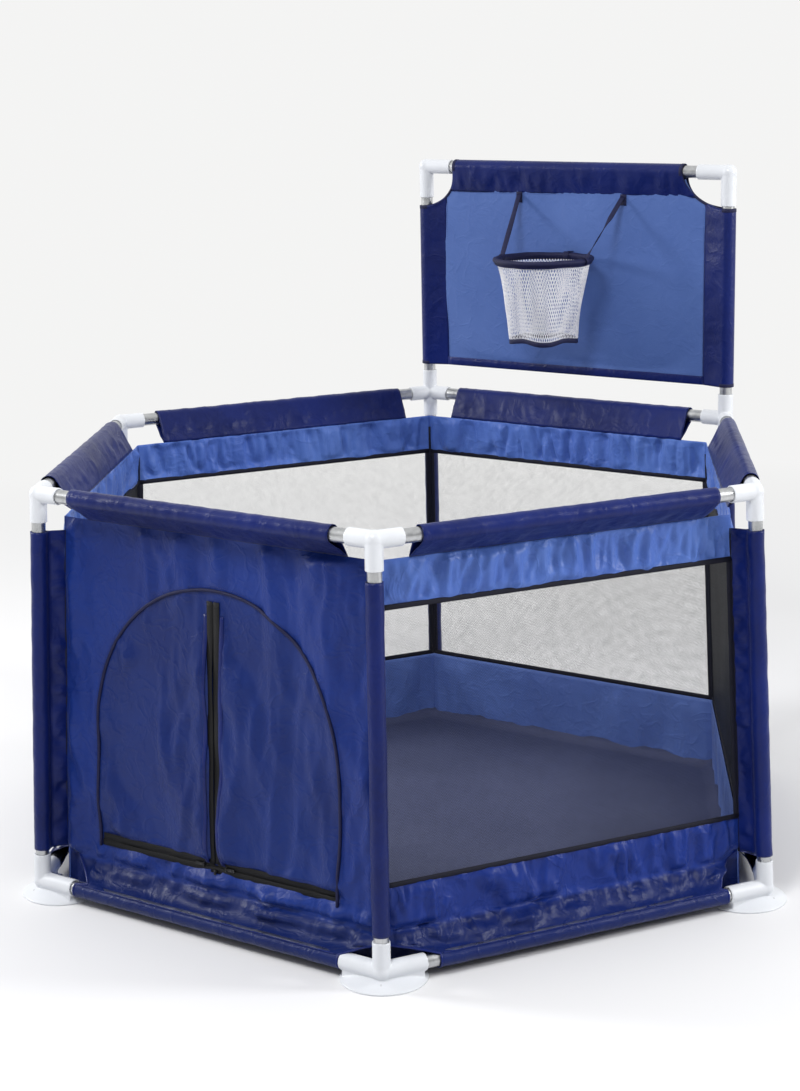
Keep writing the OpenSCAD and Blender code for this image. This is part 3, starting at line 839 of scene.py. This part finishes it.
def post_sleeve(n):
    """The cloth round a post, and the fin that joins it to the two walls."""
    matrix = post_frame(n)
    low, high = 0.053, POST_LEN - 0.060
    corner, seam = -(INSET / COS30) - 0.0045, -SLEEVE_R - 0.004
    fin_count, arc = 9, 19
    angles = np.linspace(math.pi - 0.32, -math.pi + 0.32, arc)
    leaf = np.stack([np.linspace(corner, seam, fin_count), np.full(fin_count, 0.0006)], 1)
    ring = SLEEVE_R * np.stack([np.cos(angles), np.sin(angles)], 1)
    section = np.concatenate([leaf, ring, leaf[::-1] * np.array([1, -1])])
    fin = np.concatenate([np.ones(fin_count), np.zeros(arc), np.ones(fin_count)])
    t = np.concatenate([np.linspace(0, 1, fin_count), np.zeros(arc), np.linspace(1, 0, fin_count)])
    around = np.concatenate([np.zeros(fin_count), angles, np.zeros(fin_count)])
    z, run = np.linspace(low, high, 112)[:, None], run_of(section)
    points = stack(section[:, 0], section[:, 1], z)
    flat = points * np.array([1, 0, 1])
    sway = (wavy(flat, 200 + n, (16, 1, 38)) * 0.0060 + creased(flat, 210 + n, (20, 1, 46)) * 0.0036
            + wavy(flat, 215 + n, (30, 1, 90)) * 0.0018)
    points[..., 1] += sway * np.sin(np.pi * t) * fin
    skin = wavy(points, 220 + n, (40, 40, 34)) * 0.0008 * (1 - fin)
    points[..., 0] += skin * np.cos(around)
    points[..., 1] += skin * np.sin(around)
    obj = sheet_object(f"post_sleeve_{n}", matrix, points, stack(run, z), SLEEVE)
    thicken(obj, 0.0006, 1.0)
    shown(obj, "frame", "sleeve_fabric", *(["corner_sleeves"] if n == 1 else []))
    edge = placed(matrix, [(corner + 0.001, 0, h) for h in np.linspace(low, high, 30)])
    bound = sweep(f"post_binding_{n}", edge, heading(matrix, (0, 1, 0)), circle(8, 0.0022), BINDING)
    shown(bound, "frame", "webbing")
    lines = [(placed(matrix, [(seam + 0.0002, y * 0.0013, h) for h in np.linspace(low + 0.006, high - 0.006, 60)]),
              heading(matrix, (0, y, 0))) for y in (-1, 1)]
    stitches(f"post_stitching_{n}", lines, "frame")


# ---- the door wall ----

class Surface:
    """Finds points on a settled cloth from where they are in the wall's plane."""

    def __init__(self, obj, matrix):
        self.matrix, self.points = matrix, local_points(obj, matrix)

    def out(self, x, v):
        """How far out of the wall's plane the cloth is near this point."""
        near = ((self.points[:, ::2] - np.array([x, v])) ** 2).sum(-1)
        best = np.argpartition(near, 4)[:4]
        weight = 1 / (near[best] + 1e-9)
        return float((self.points[best, 1] * weight).sum() / weight.sum())

    def line(self, places, lift):
        outs = np.pad([self.out(x, v) for x, v in places], 2, mode="edge")
        outs = np.convolve(outs, np.array([1, 2, 3, 2, 1]) / 9, mode="valid")
        return placed(self.matrix, [(x, o + lift, v) for (x, v), o in zip(places, outs)])


def cut_by(obj, lines, matrix):
    """Cuts the cloth along straight lines in the wall's plane."""
    bm = bmesh.new()
    bm.from_mesh(obj.data)
    inverse, reach = matrix.inverted(), 0.012
    for (ax, av), (bx, bv) in lines:
        faces = []
        for face in bm.faces:
            x, _, v = inverse @ face.calc_center_median()
            if abs(x - (ax + bx) / 2) <= abs(ax - bx) / 2 + reach and \
                    abs(v - (av + bv) / 2) <= abs(av - bv) / 2 + reach:
                faces.append(face)
        verts, edges = ({part: 0 for f in faces for part in getattr(f, kind)} for kind in ("verts", "edges"))
        bmesh.ops.bisect_plane(bm, geom=[*verts, *edges, *faces], plane_co=matrix @ Vector((ax, 0, av)),
                               plane_no=matrix.to_3x3() @ Vector((bv - av, 0, ax - bx)).normalized(), dist=1e-6)
    bm.to_mesh(obj.data)
    bm.free()


def part_of(obj, name, wanted, matrix):
    """A copy of the faces of a cloth whose middles are wanted, in the wall's plane."""
    bm = bmesh.new()
    bm.from_mesh(obj.data)
    inverse = matrix.inverted()
    gone = [face for face in bm.faces if not wanted(inverse @ face.calc_center_median())]
    bmesh.ops.delete(bm, geom=gone, context="FACES")
    mesh = bpy.data.meshes.new(name)
    bm.to_mesh(mesh)
    bm.free()
    return added(name, smoothed(mesh, DOOR_COVER))


def in_doorway(local):
    t = (APEX_V - local.z) / (APEX_V - DOOR_V)
    return local.z > DOOR_V and abs(local.x) < DOOR_HALF * t and local.y < 0.03


def hold_zips(low, points, held):
    """Holds the door's cloth flatter and steadier along its zips."""
    matrix = wall_frame(DOOR)
    local = placed(matrix.inverted() @ side_frame(DOOR), points)
    x, v = np.abs(local[..., 0]), local[..., 2]
    zips = ((x < 0.008) & (v < APEX_V) & (v > DOOR_V - 0.012)) | ((np.abs(v - DOOR_V) < 0.008) & (x < DOOR_HALF))
    held[zips] = np.maximum(held[zips], 0.5)
    local[zips, 1] *= 0.1
    move_points(low, matrix, local)


def start_door():
    top_sleeve(DOOR)
    return low_cloth(DOOR, "door_cloth", 0.0, 120, 77, 0.060, 0.0018, (1.026, 1.010), DOOR_COVER, 0.4, 0.0060)


def arch(shift=0.0):
    """The piped outline of the doorway, in the wall's plane."""
    half, spring = DOOR_HALF + shift, plane_v(ARCH_Z)
    legs = [(-half, v) for v in np.linspace(DOOR_V - 0.012, spring, 16, endpoint=False)]
    bow = [(-half * math.cos(a), spring + half * math.sin(a)) for a in np.linspace(0, math.pi, 70)]
    return legs + bow + [(-x, v) for x, v in reversed(legs)]


def zip_teeth(line, across, outward, offset):
    """One side of a zip's chain: a small tooth every 1.6 mm."""
    pitch, run, points, faces = 0.0016, run_of(line), [], []
    along = (line[-1] - line[0]) / np.linalg.norm(line[-1] - line[0])
    for i in range(int(run[-1] / pitch)):
        here = np.array([np.interp((i + offset) * pitch, run, line[:, k]) for k in range(3)])
        base = len(points)
        points += [here + along * a * 0.00042 + across * (b * 0.0030 - 0.0006) + outward * c * 0.0006
                   for c in (-1, 0.6) for a, b in ((-1, 0), (1, 0), (1, 1), (-1, 1))]
        faces += [tuple(base + j for j in f) for f in
                  ((0, 3, 2, 1), (4, 5, 6, 7), (0, 1, 5, 4), (1, 2, 6, 5), (2, 3, 7, 6), (3, 0, 4, 7))]
    return mesh_object("teeth", points, faces, ZIP_TAPE, [(0.0, 0.0)] * len(points), smooth=False)


def point_key(vertex):
    return tuple(round(c, 6) for c in vertex.co)


def finish_door(low, points, down, ring, widest, tall):
    matrix = wall_frame(DOOR)
    surface = Surface(low, matrix)
    across, outward, up = (heading(matrix, way) for way in ((1, 0, 0), (0, 1, 0), (0, 0, 1)))
    apex, sill_ends = (0, APEX_V), [(-DOOR_HALF, DOOR_V), (DOOR_HALF, DOOR_V)]
    cut_by(low, [(apex, sill_ends[0]), (apex, sill_ends[1]), sill_ends, (apex, (0, DOOR_V))], matrix)
    low.data.update()
    normals = {point_key(v): v.normal.copy() for v in low.data.vertices}
    wall = part_of(low, "door_wall_cloth", lambda p: not in_doorway(p), matrix)
    left = part_of(low, "flap_cloth_left", lambda p: in_doorway(p) and p.x > 0, matrix)
    right = part_of(low, "flap_cloth_right", lambda p: in_doorway(p) and p.x <= 0, matrix)
    bpy.data.objects.remove(low)
    for piece, body, node in ((wall, "frame", "door_wall"), (left, "flap_left", "door_flap_left"),
                              (right, "flap_right", "door_flap_right")):
        piece.data.normals_split_custom_set_from_vertices([normals[point_key(v)] for v in piece.data.vertices])
        shown(piece, body, "cover_fabric", node)

    piping = sweep("door_piping", surface.line(arch(), 0.0010), outward, circle(8, 0.0027), WEBBING)
    shown(piping, "frame", "webbing")
    bound = end_binding("door_low_binding", DOOR, points, down, ring)
    seams = stitches("door_stitching", [(surface.line(arch(0.006), 0.0012), outward)], "frame")

    v_line = np.linspace(DOOR_V + 0.004, APEX_V - 0.004, 60)
    x_line = np.linspace(0.004, DOOR_HALF - 0.006, 36)
    for side, body, label, piece in ((1, "flap_left", "left", left), (-1, "flap_right", "right", right)):
        def upright(x, lift, leave=0):
            return surface.line([(side * x, v) for v in v_line[:len(v_line) - leave]], lift)

        def level(rise, lift, xs=x_line):
            return surface.line([(side * x, DOOR_V + rise) for x in xs], lift)

        zipper = join(f"zip_tape_{label}", [
            strip("tape", upright(0.0068, 0.0016), outward, 0.0110, 0.0009, ZIP_TAPE),
            strip("tape", level(0.0060, 0.0016), outward, 0.0092, 0.0009, ZIP_TAPE),
            zip_teeth(upright(0.0014, 0.0014), -side * across, outward, 0.0 if side > 0 else 0.5),
            zip_teeth(level(0.0014, 0.0014), -up, outward, 0.0)])
        facing_strip = strip(f"zip_strip_{label}", upright(0.0156, 0.0007, 3), outward, 0.0080, 0.0008, SLEEVE)
        shown(zipper, body, "zip_metal")
        shown(facing_strip, body, "sleeve_fabric")
        sewing = stitches(f"flap_stitching_{label}", [(upright(0.0212, 0.0008, 5), outward),
                                                      (level(0.0134, 0.0008, x_line[2:-2]), outward)], body)
    sill = np.linspace(-DOOR_HALF + 0.004, DOOR_HALF - 0.004, 70)
    tape_low = strip("tape", surface.line([(x, DOOR_V - 0.0060) for x in sill], 0.0016), outward,
                     0.0092, 0.0009, ZIP_TAPE)
    teeth_low = zip_teeth(surface.line([(x, DOOR_V - 0.0014) for x in sill], 0.0014), up, outward, 0.5)
    shown(join("zip_tape_sill", [tape_low, teeth_low]), "frame", "zip_metal")
    inner_face(DOOR, DOOR_V - 0.012)


# ---- floor cloth ----

def floor_mat():
    radius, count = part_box("floor_mat")[1].x, 64
    points, faces, index = [], [], {}
    for q in range(-count, count + 1):
        for r in range(max(-count, -q - count), min(count, -q + count) + 1):
            index[(q, r)] = len(points)
            points.append((radius * (q + r / 2) / count, radius * r * math.sin(math.pi / 3) / count, 0.0))
    for (q, r), i in index.items():
        right, top, left = index.get((q + 1, r)), index.get((q, r + 1)), index.get((q - 1, r + 1))
        if right is not None and top is not None:
            faces.append((i, right, top))
        if top is not None and left is not None:
            faces.append((i, top, left))
    points = np.array(points)
    flat = points[:, :2].copy()
    edge = 1 - np.max([np.abs(flat @ np.array([math.cos(a), math.sin(a)]))
                       for a in np.radians([30, 90, 150])], 0) / (radius * COS30)
    rise = (wavy(points, 301, (3.5, 3.5, 1)) * 0.0030 + creased(points, 302, (5, 3, 1)) * 0.0022
            + wavy(points, 303, (17, 11, 1)) * 0.0008)
    points[:, 2] = (0.0036 + np.clip(rise, -0.0016, 0.006) * ease(edge / 0.12)
                    + 0.015 * (1 - ease(edge / 0.045)) ** 2)
    obj = mesh_object("floor_cloth", points, faces, MAT, flat)
    thicken(obj, 0.0015)
    shown(obj, "frame", "mat_fabric", "floor_mat")


# ---- the hoop board ----

def notch_x(z, side):
    """Half width of the board's cloth at a height, with its oval cut-outs."""
    wide, tall = NOTCHES[side]
    return SIDE / 2 - wide * np.sqrt(1 - np.clip((BOARD_Z - z) / tall, 0, 1) ** 2)


def board_panel():
    rows, columns = 64, 104
    z = np.linspace(BOARD_HEM + 0.001, BOARD_Z - SLEEVE_R, rows)
    halves = [np.minimum(np.where(z > BOARD_Z - NOTCHES[side][1], notch_x(z, side), SIDE), SIDE / 2 - 0.0125)
              for side in (-1, 1)]
    points = stack(spread_columns(halves, columns), 0.0, z[:, None])
    out = wavy(points, 401, (6, 1, 5)) * 0.0035 + creased(points, 402, (7, 1, 4)) * 0.0012
    points[..., 1] = BOARD_Y + out * belt(rows, 6)[:, None] * belt(columns, 8)
    obj = sheet_object("board_panel", Matrix(), points, points[..., ::2], BOARD)
    held = np.ones((rows, columns))
    held[3:-5, 7:-7] = 0
    simulate_later(obj, held, points[..., ::2] * 1.006, 1.2)
    shown(obj, "hoop_board", "board_fabric", "board_cloth")
    return obj, SIDE - 0.025, z[-1] - z[0]


def board_sleeves():
    for side, label in ((-1, "left"), (1, "right")):
        section, near = sleeve_section((SIDE / 2, 0), (BOARD_SEAM_X, 0), 9, 19)
        wide, tall = NOTCHES[side]
        top = BOARD_Z - tall * np.sqrt(1 - np.clip((SIDE / 2 - section[:, 0]) / wide, 0, 0.999) ** 2)
        t, run = np.linspace(0, 1, 78)[:, None], run_of(section)
        z = BOARD_HEM + (top - BOARD_HEM) * t
        points = stack(section[:, 0] * side, BOARD_Y + section[:, 1], z)
        loose = np.sin(np.pi * near) * belt(len(t), 2)[:, None]
        points[..., 1] += (wavy(points, 411 + side, (9, 3, 24)) * 0.0022
                           + creased(points, 415 + side, (8, 3, 30)) * 0.0011) * loose
        obj = sheet_object(f"board_sleeve_{label}", Matrix(), points, stack(run, z), SLEEVE)
        thicken(obj, CLOTH, side)
        shown(obj, "hoop_board", "sleeve_fabric")
    section, near = sleeve_section((0, BOARD_Z), (0, BOARD_SEAM_Z), 9, 19)
    columns, run = 96, run_of(section)
    x = spread_columns([notch_x(section[:, 1], side) for side in (-1, 1)], columns)
    points = stack(x, section[:, :1] + BOARD_Y, section[:, 1:])
    loose = np.sin(np.pi * near * 0.98)[:, None] ** 0.7 * belt(columns, 3)
    flat = stack(x, run[:, None], 0.0)
    points[..., 1] += (gathers(x, run[:, None], 431, 0.022, 4.0) * 0.0034
                       + creased(flat, 432, (46, 10, 1)) * 0.0020) * loose * np.sign(section[:, :1] + 1e-9)
    obj = sheet_object("board_top_sleeve", Matrix(), points, flat[..., :2], SLEEVE)
    thicken(obj)
    shown(obj, "hoop_board", "sleeve_fabric")


def board_binding(side):
    """Tape round one notch, on both faces, and round the three ends of the sleeves there."""
    wide, tall = NOTCHES[side]
    bounds = []
    for y in (-1, 1):
        path = []
        for a in np.linspace(math.pi - 0.02, 1.5 * math.pi + 0.04, 40):
            x, z = SIDE / 2 + (wide + 0.0014) * math.cos(a), BOARD_Z + (tall + 0.0014) * math.sin(a)
            gap = 0.0014 + SLEEVE_R * 0.85 * sum(max(0.0, 1 - abs(d) / 0.040) for d in (SIDE / 2 - x, BOARD_Z - z))
            path.append((side * x, BOARD_Y + y * min(gap, SLEEVE_R + 0.0006), z))
        bounds.append(strip("edge", path, (0, y, 0), 0.0042, 0.0014, WEBBING))
    for x, z, normal in ((SIDE / 2, BOARD_Z - tall - 0.003, (0, 0, 1)),
                         (SIDE / 2 - wide - 0.003, BOARD_Z, (1, 0, 0)), (SIDE / 2, BOARD_HEM + 0.003, (0, 0, 1))):
        w = np.cross(normal, (0, 1, 0))
        path = [np.array((side * x, BOARD_Y + p, z)) + q * w for p, q in circle(32, SLEEVE_R + 0.0005)]
        bounds.append(strip("edge", path, normal, 0.0014, 0.0062, WEBBING, closed=True))
    return bounds


def board_trim(panel, wide, tall):
    board_sleeves()
    ends = (-BOARD_SEAM_X, BOARD_SEAM_X)
    hems = [strip("hem", [(x, BOARD_Y + y, BOARD_HEM + 0.0078)
                          for x in np.linspace(ends[0] - 0.002, ends[1] + 0.002, 60)],
                  (0, -1, 0), 0.0155, 0.0010, SLEEVE) for y in (-0.0012, 0.0012)]
    hem = shown(join("board_hem", hems), "hoop_board", "sleeve_fabric")
    bound = shown(join("board_binding", board_binding(-1) + board_binding(1)), "hoop_board", "webbing")
    lines = []
    for y in (-1, 1):
        rows = [[(side * (BOARD_SEAM_X - 0.001), 0.0014, h) for h in np.linspace(BOARD_HEM + 0.016, BOARD_Z - 0.060, 30)]
                for side in (-1, 1)]
        rows.append([(x, 0.0014, BOARD_SEAM_Z - 0.001) for x in np.linspace(-0.258, 0.258, 40)])
        rows.append([(x, 0.0019, BOARD_HEM + 0.0138) for x in np.linspace(*ends, 40)])
        lines += [([(x, BOARD_Y + y * out, z) for x, out, z in row], (0.0, y, 0.0)) for row in rows]
    sewing = stitches("board_stitching", lines, "hoop_board")


# ---- the hoop ----

def net_point(angle, t):
    """A point of the net: angle round it, and t from 0 under the ring to 1 at its hem."""
    corner, top = angle + math.radians(58), RING_R - 0.003
    low = HEM_R * (1 + 0.10 * math.cos(4 * corner) * t)
    shift = Vector((3.1, 7.7, 1.9))
    around = Vector((math.cos(angle) * 2.2, math.sin(angle) * 2.2, t * 1.4))
    fold = noise.noise(around + shift) * 0.0034 + noise.noise(around * 2.3 + shift) * 0.0016
    radius = top + (low - top) * (0.20 * (1 - (1 - t) ** 3) + 0.80 * t) \
        + fold * math.sin(math.pi * min(1, t * 1.02)) ** 0.5
    z = NET_TOP + (NET_LOW + HEM_TALL * 0.7 - NET_TOP) * t - 0.0022 * math.cos(4 * corner) * t
    return (RING.x + radius * math.cos(angle), RING.y + radius * math.sin(angle), z)


def netting_yarns():
    """Two sets of yarns that wind round the net both ways and pass over and under each other."""
    strands, steps, turns, radius = 96, 30, 10.0 / 96, 0.00074
    points, faces = [], []
    for way in (-1, 1):
        for s in range(strands):
            line = np.array([net_point(2 * math.pi * (s / strands + way * turns * t), t)
                             for t in np.linspace(0, 1, steps)])
            out = unit((line - np.array(RING)) * np.array([1, 1, 0]))
            wide = np.cross(unit(np.gradient(line, axis=0)), out)
            base = len(points)
            for i in range(steps):
                here = line[i] + out[i] * 0.00035 * (1 if (i + s) % 2 else -1) * way
                points += [here + wide[i] * radius, here + out[i] * radius * 0.7,
                           here - wide[i] * radius, here - out[i] * radius * 0.7]
            faces += [(base + i * 4 + j, base + i * 4 + (j + 1) % 4, base + i * 4 + (j + 1) % 4 + 4,
                       base + i * 4 + j + 4) for i in range(steps - 1) for j in range(4)]
            faces += [(base + 3, base + 2, base + 1, base),
                      tuple(base + (steps - 1) * 4 + j for j in range(4))]
    return mesh_object("hoop_netting", points, faces, NET, np.zeros((len(points), 2)))


def hoop():
    angles = np.linspace(0, 2 * math.pi, 120, endpoint=False)
    path = []
    for a in angles:
        shift = noise.noise(Vector((math.cos(a) * 3, math.sin(a) * 3, 5.5)))
        radius = RING_R + shift * 0.0010
        path.append((RING.x + radius * math.cos(a), RING.y + radius * math.sin(a), RING.z + shift * 0.0014))
    section = [(0.0051 * math.cos(t), 0.0051 * math.sin(t)) for t in np.radians(np.linspace(-60, 240, 13))]
    section += [(-0.0014, -0.0080), (-0.0006, -0.0086), (0.0006, -0.0080)]
    casing = sweep("hoop_casing", path, (0, 0, 1), section, WEBBING, closed=True)
    shown(casing, "hoop", "webbing", "hoop_ring")

    net = netting_yarns()
    shown(net, "hoop", "net_yarn", "hoop_net")
    bottom = [Vector(net_point(a, 1.0)) - Vector((0, 0, HEM_TALL * 0.2)) for a in angles]
    hem = strip("hoop_hem", bottom, (0, 0, 1), 0.0019, HEM_TALL, WEBBING, closed=True)
    shown(hem, "hoop", "webbing")
    for piece in (net, hem):
        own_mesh(piece)
    sewn = [(RING.x + (RING_R + 0.0032) * math.cos(a), RING.y + (RING_R + 0.0032) * math.sin(a), RING.z - 0.0066)
            for a in np.linspace(0, 2 * math.pi, 100)]
    sewing = stitches("hoop_stitching", [(sewn, (0.0, 0.0, -1.0))], "hoop")
    hoop_strap(-1, "left", 12)
    hoop_strap(1, "right", 64)

    back = RING.y + RING_R
    loop = [(back + LOOP_R * math.cos(a), RING.z + LOOP_R * math.sin(a)) for a in np.radians(np.linspace(40, 320, 18))]
    loop = [(BOARD_Y - 0.0012, RING.z + 0.006)] + loop + [(BOARD_Y - 0.0012, RING.z - 0.014)]
    away = unit(np.array([(0.0, y - back, z - RING.z) for y, z in loop]))
    shown(strip("hoop_back_loop", [(0.0, y, z) for y, z in loop], away, 0.012, 0.0010, WEBBING),
          "hoop_board", "webbing")


def hoop_strap(side, label, twist):
    """A strap from the ring up to the board's top sleeve, with its loop and its sewn end."""
    low = Vector((side * (RING_R + 0.0008), RING.y, RING.z + 0.004))
    high = Vector((side * 0.110, BOARD_Y - 0.0030, BOARD_Z - 0.047))
    path, facing = [], []
    for t in np.linspace(0, 1, 36):
        sag = math.sin(math.pi * t) * 0.0014
        path.append(low.lerp(high, t) + Vector((0, -sag * 0.3, -sag)))
        angle = math.radians(90 + side * twist * math.sin(math.pi * min(1, t * 1.5)) ** 0.8)
        facing.append((math.cos(angle), -math.sin(angle), 0.25))
    strap = strip(f"hoop_strap_{label}", path, facing, 0.0098, 0.0012, WEBBING)
    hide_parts("hoop_straps")
    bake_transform(strap)
    ring_at = [(x, low.y, z) for x, z in circle(24, LOOP_R, (low.x, RING.z))]
    shown(strip(f"hoop_strap_loop_{label}", ring_at, (0, 1, 0), 0.0012, 0.0098, WEBBING, closed=True),
          "hoop", "webbing")
    patch = [(high.x + side * 0.0006, high.y + 0.0008, high.z + 0.004 - 0.020 * t) for t in np.linspace(0, 1, 8)]
    shown(strip(f"hoop_strap_tab_{label}", patch, (0, -1, 0), 0.0125, 0.0016, WEBBING), "hoop_board", "webbing")


# ---- small moulded marks ----

def dot(centre, normal, radius):
    """A shallow round mark left by the moulding."""
    normal = Vector(normal).normalized()
    side = normal.orthogonal().normalized()
    other, rings = normal.cross(side), ((1.0, -0.00030), (1.0, 0.00012), (0.72, 0.00016), (0.5, -0.0002))
    points = [Vector(centre) + side * x + other * y + normal * rise
              for scale, rise in rings for x, y in circle(14, radius * scale)]
    faces = grid_faces(len(rings), 14, closed=True) + [tuple(range(13, -1, -1)), tuple(range(42, 56))]
    return mesh_object("dot", points, faces, GATE_MARK)


def marks():
    found = [dot((side * (SIDE / 2 - x), BOARD_Y + face * 0.0130, BOARD_Z + z), (0, face, 0), 0.0014)
             for side in (-1, 1) for x, z in ((0.026, 0.0), (0.0, -0.027)) for face in (-1, 1)]
    shown(join("elbow_marks", found), "hoop_board", "white_plastic")
    reach = 0.016                               # out from the post's axis, over the domed foot pad
    rho, dome = reach + 0.034, (0.065 ** 2 + 0.017 ** 2) / 0.034
    rise = math.sqrt(dome ** 2 - rho ** 2)
    found = [dot(turn(60 * n) @ Vector((FOOT_SIDE + reach, 0, 0.020 - dome + rise + 0.0001)),
                 turn(60 * n) @ Vector((rho, 0, rise)), 0.0015) for n in range(6)]
    shown(join("foot_marks", found), "frame", "white_plastic")


# ---- everything together ----

MESH_WALLS = (1, 2, 3, 4, 6)
for n in MESH_WALLS:
    mesh_wall(n)
door_parts = start_door()
panel_parts = board_panel()
simulate()
for n in MESH_WALLS:
    rumple(f"upper_band_{n}", n, n + 500, 0.036, 0.0120)
    rumple(f"lower_cloth_{n}", n, n + 520, 0.034, 0.0150, 1.2)
    keep_outside(f"lower_cloth_{n}", n)
rumple("door_cloth", DOOR, 540, 0.110, 0.0170, 0.7)
rumple("door_cloth", DOOR, 545, 0.042, 0.0050, -0.9)
rumple("door_cloth", DOOR, 549, 0.034, 0.0110, -1.1, DOOR_V - 0.008)
keep_outside("door_cloth", DOOR)
finish_door(*door_parts)
board_trim(*panel_parts)
for n in range(1, 7):
    post_sleeve(n)
floor_mat()
hoop()
marks()
for name in [o.name for o in bpy.data.objects if o.name.startswith(("upper_band", "lower_cloth", "board_panel"))]:
    thicken(bpy.data.objects[name], offset=0.0)


# ---- the studio ----

floor = mesh_object("studio_floor", [(x, y, 0) for x, y in circle(96, 30)], [tuple(range(96))],
                    studio_floor(), smooth=False)
world = bpy.data.worlds.new("studio")
SCENE.world = world
world.use_nodes = True
air = world.node_tree
ahead = air.nodes.new("ShaderNodeVectorMath")
ahead.operation = "DOT_PRODUCT"
ahead.inputs[1].default_value = (-0.40, 0.60, 0.70)
air.links.new(air.nodes.new("ShaderNodeTexCoord").outputs["Generated"], ahead.inputs[0])
fade = air.nodes.new("ShaderNodeMapRange")
fade.inputs["From Min"].default_value, fade.inputs["From Max"].default_value = -0.25, 0.40
air.links.new(ahead.outputs["Value"], fade.inputs["Value"])
tones = air.nodes.new("ShaderNodeMix")
tones.data_type = "RGBA"
tones.inputs[6].default_value, tones.inputs[7].default_value = (0.30, 0.30, 0.31, 1), PAPER
air.links.new(fade.outputs["Result"], tones.inputs[0])
air.links.new(tones.outputs[2], air.nodes["Background"].inputs["Color"])
air.nodes["Background"].inputs["Strength"].default_value = 1.0


def lamp(name, at, target, size, watts):
    light = bpy.data.lights.new(name, "AREA")
    light.shape, light.size, light.energy = "SQUARE", size, watts
    aim = (Vector(at) - Vector(target)).to_track_quat("Z", "Y").to_matrix().to_4x4()
    added(name, light).matrix_world = Matrix.Translation(at) @ aim


lamp("key", (0.6, -2.6, 3.4), (0, 0, 0.3), 1.0, 70)
lamp("side", (-3.2, -1.4, 1.9), (0, 0, 0.4), 0.7, 60)
lamp("rim", (3.1, 1.2, 1.7), (0, 0, 0.4), 0.7, 60)

bearing, pitch, roll = (math.radians(a) for a in (-34.58, -13.26, -1.15))
forward = Vector((math.sin(bearing) * math.cos(pitch), math.cos(bearing) * math.cos(pitch), math.sin(pitch)))
right = Vector((math.cos(bearing), -math.sin(bearing), 0))
up = right.cross(forward)
across, upward = right * math.cos(roll) + up * math.sin(roll), up * math.cos(roll) - right * math.sin(roll)
lens = bpy.data.cameras.new("photo_camera")
lens.lens, lens.sensor_width, lens.sensor_fit = 71.7, 36.0, "AUTO"
camera = added("photo_camera", lens)
camera.matrix_world = Matrix((across, upward, -forward)).transposed().to_4x4()
camera.location = (2.031, -2.972, 1.351)
SCENE.camera = camera
SCENE.view_settings.view_transform = "Standard"
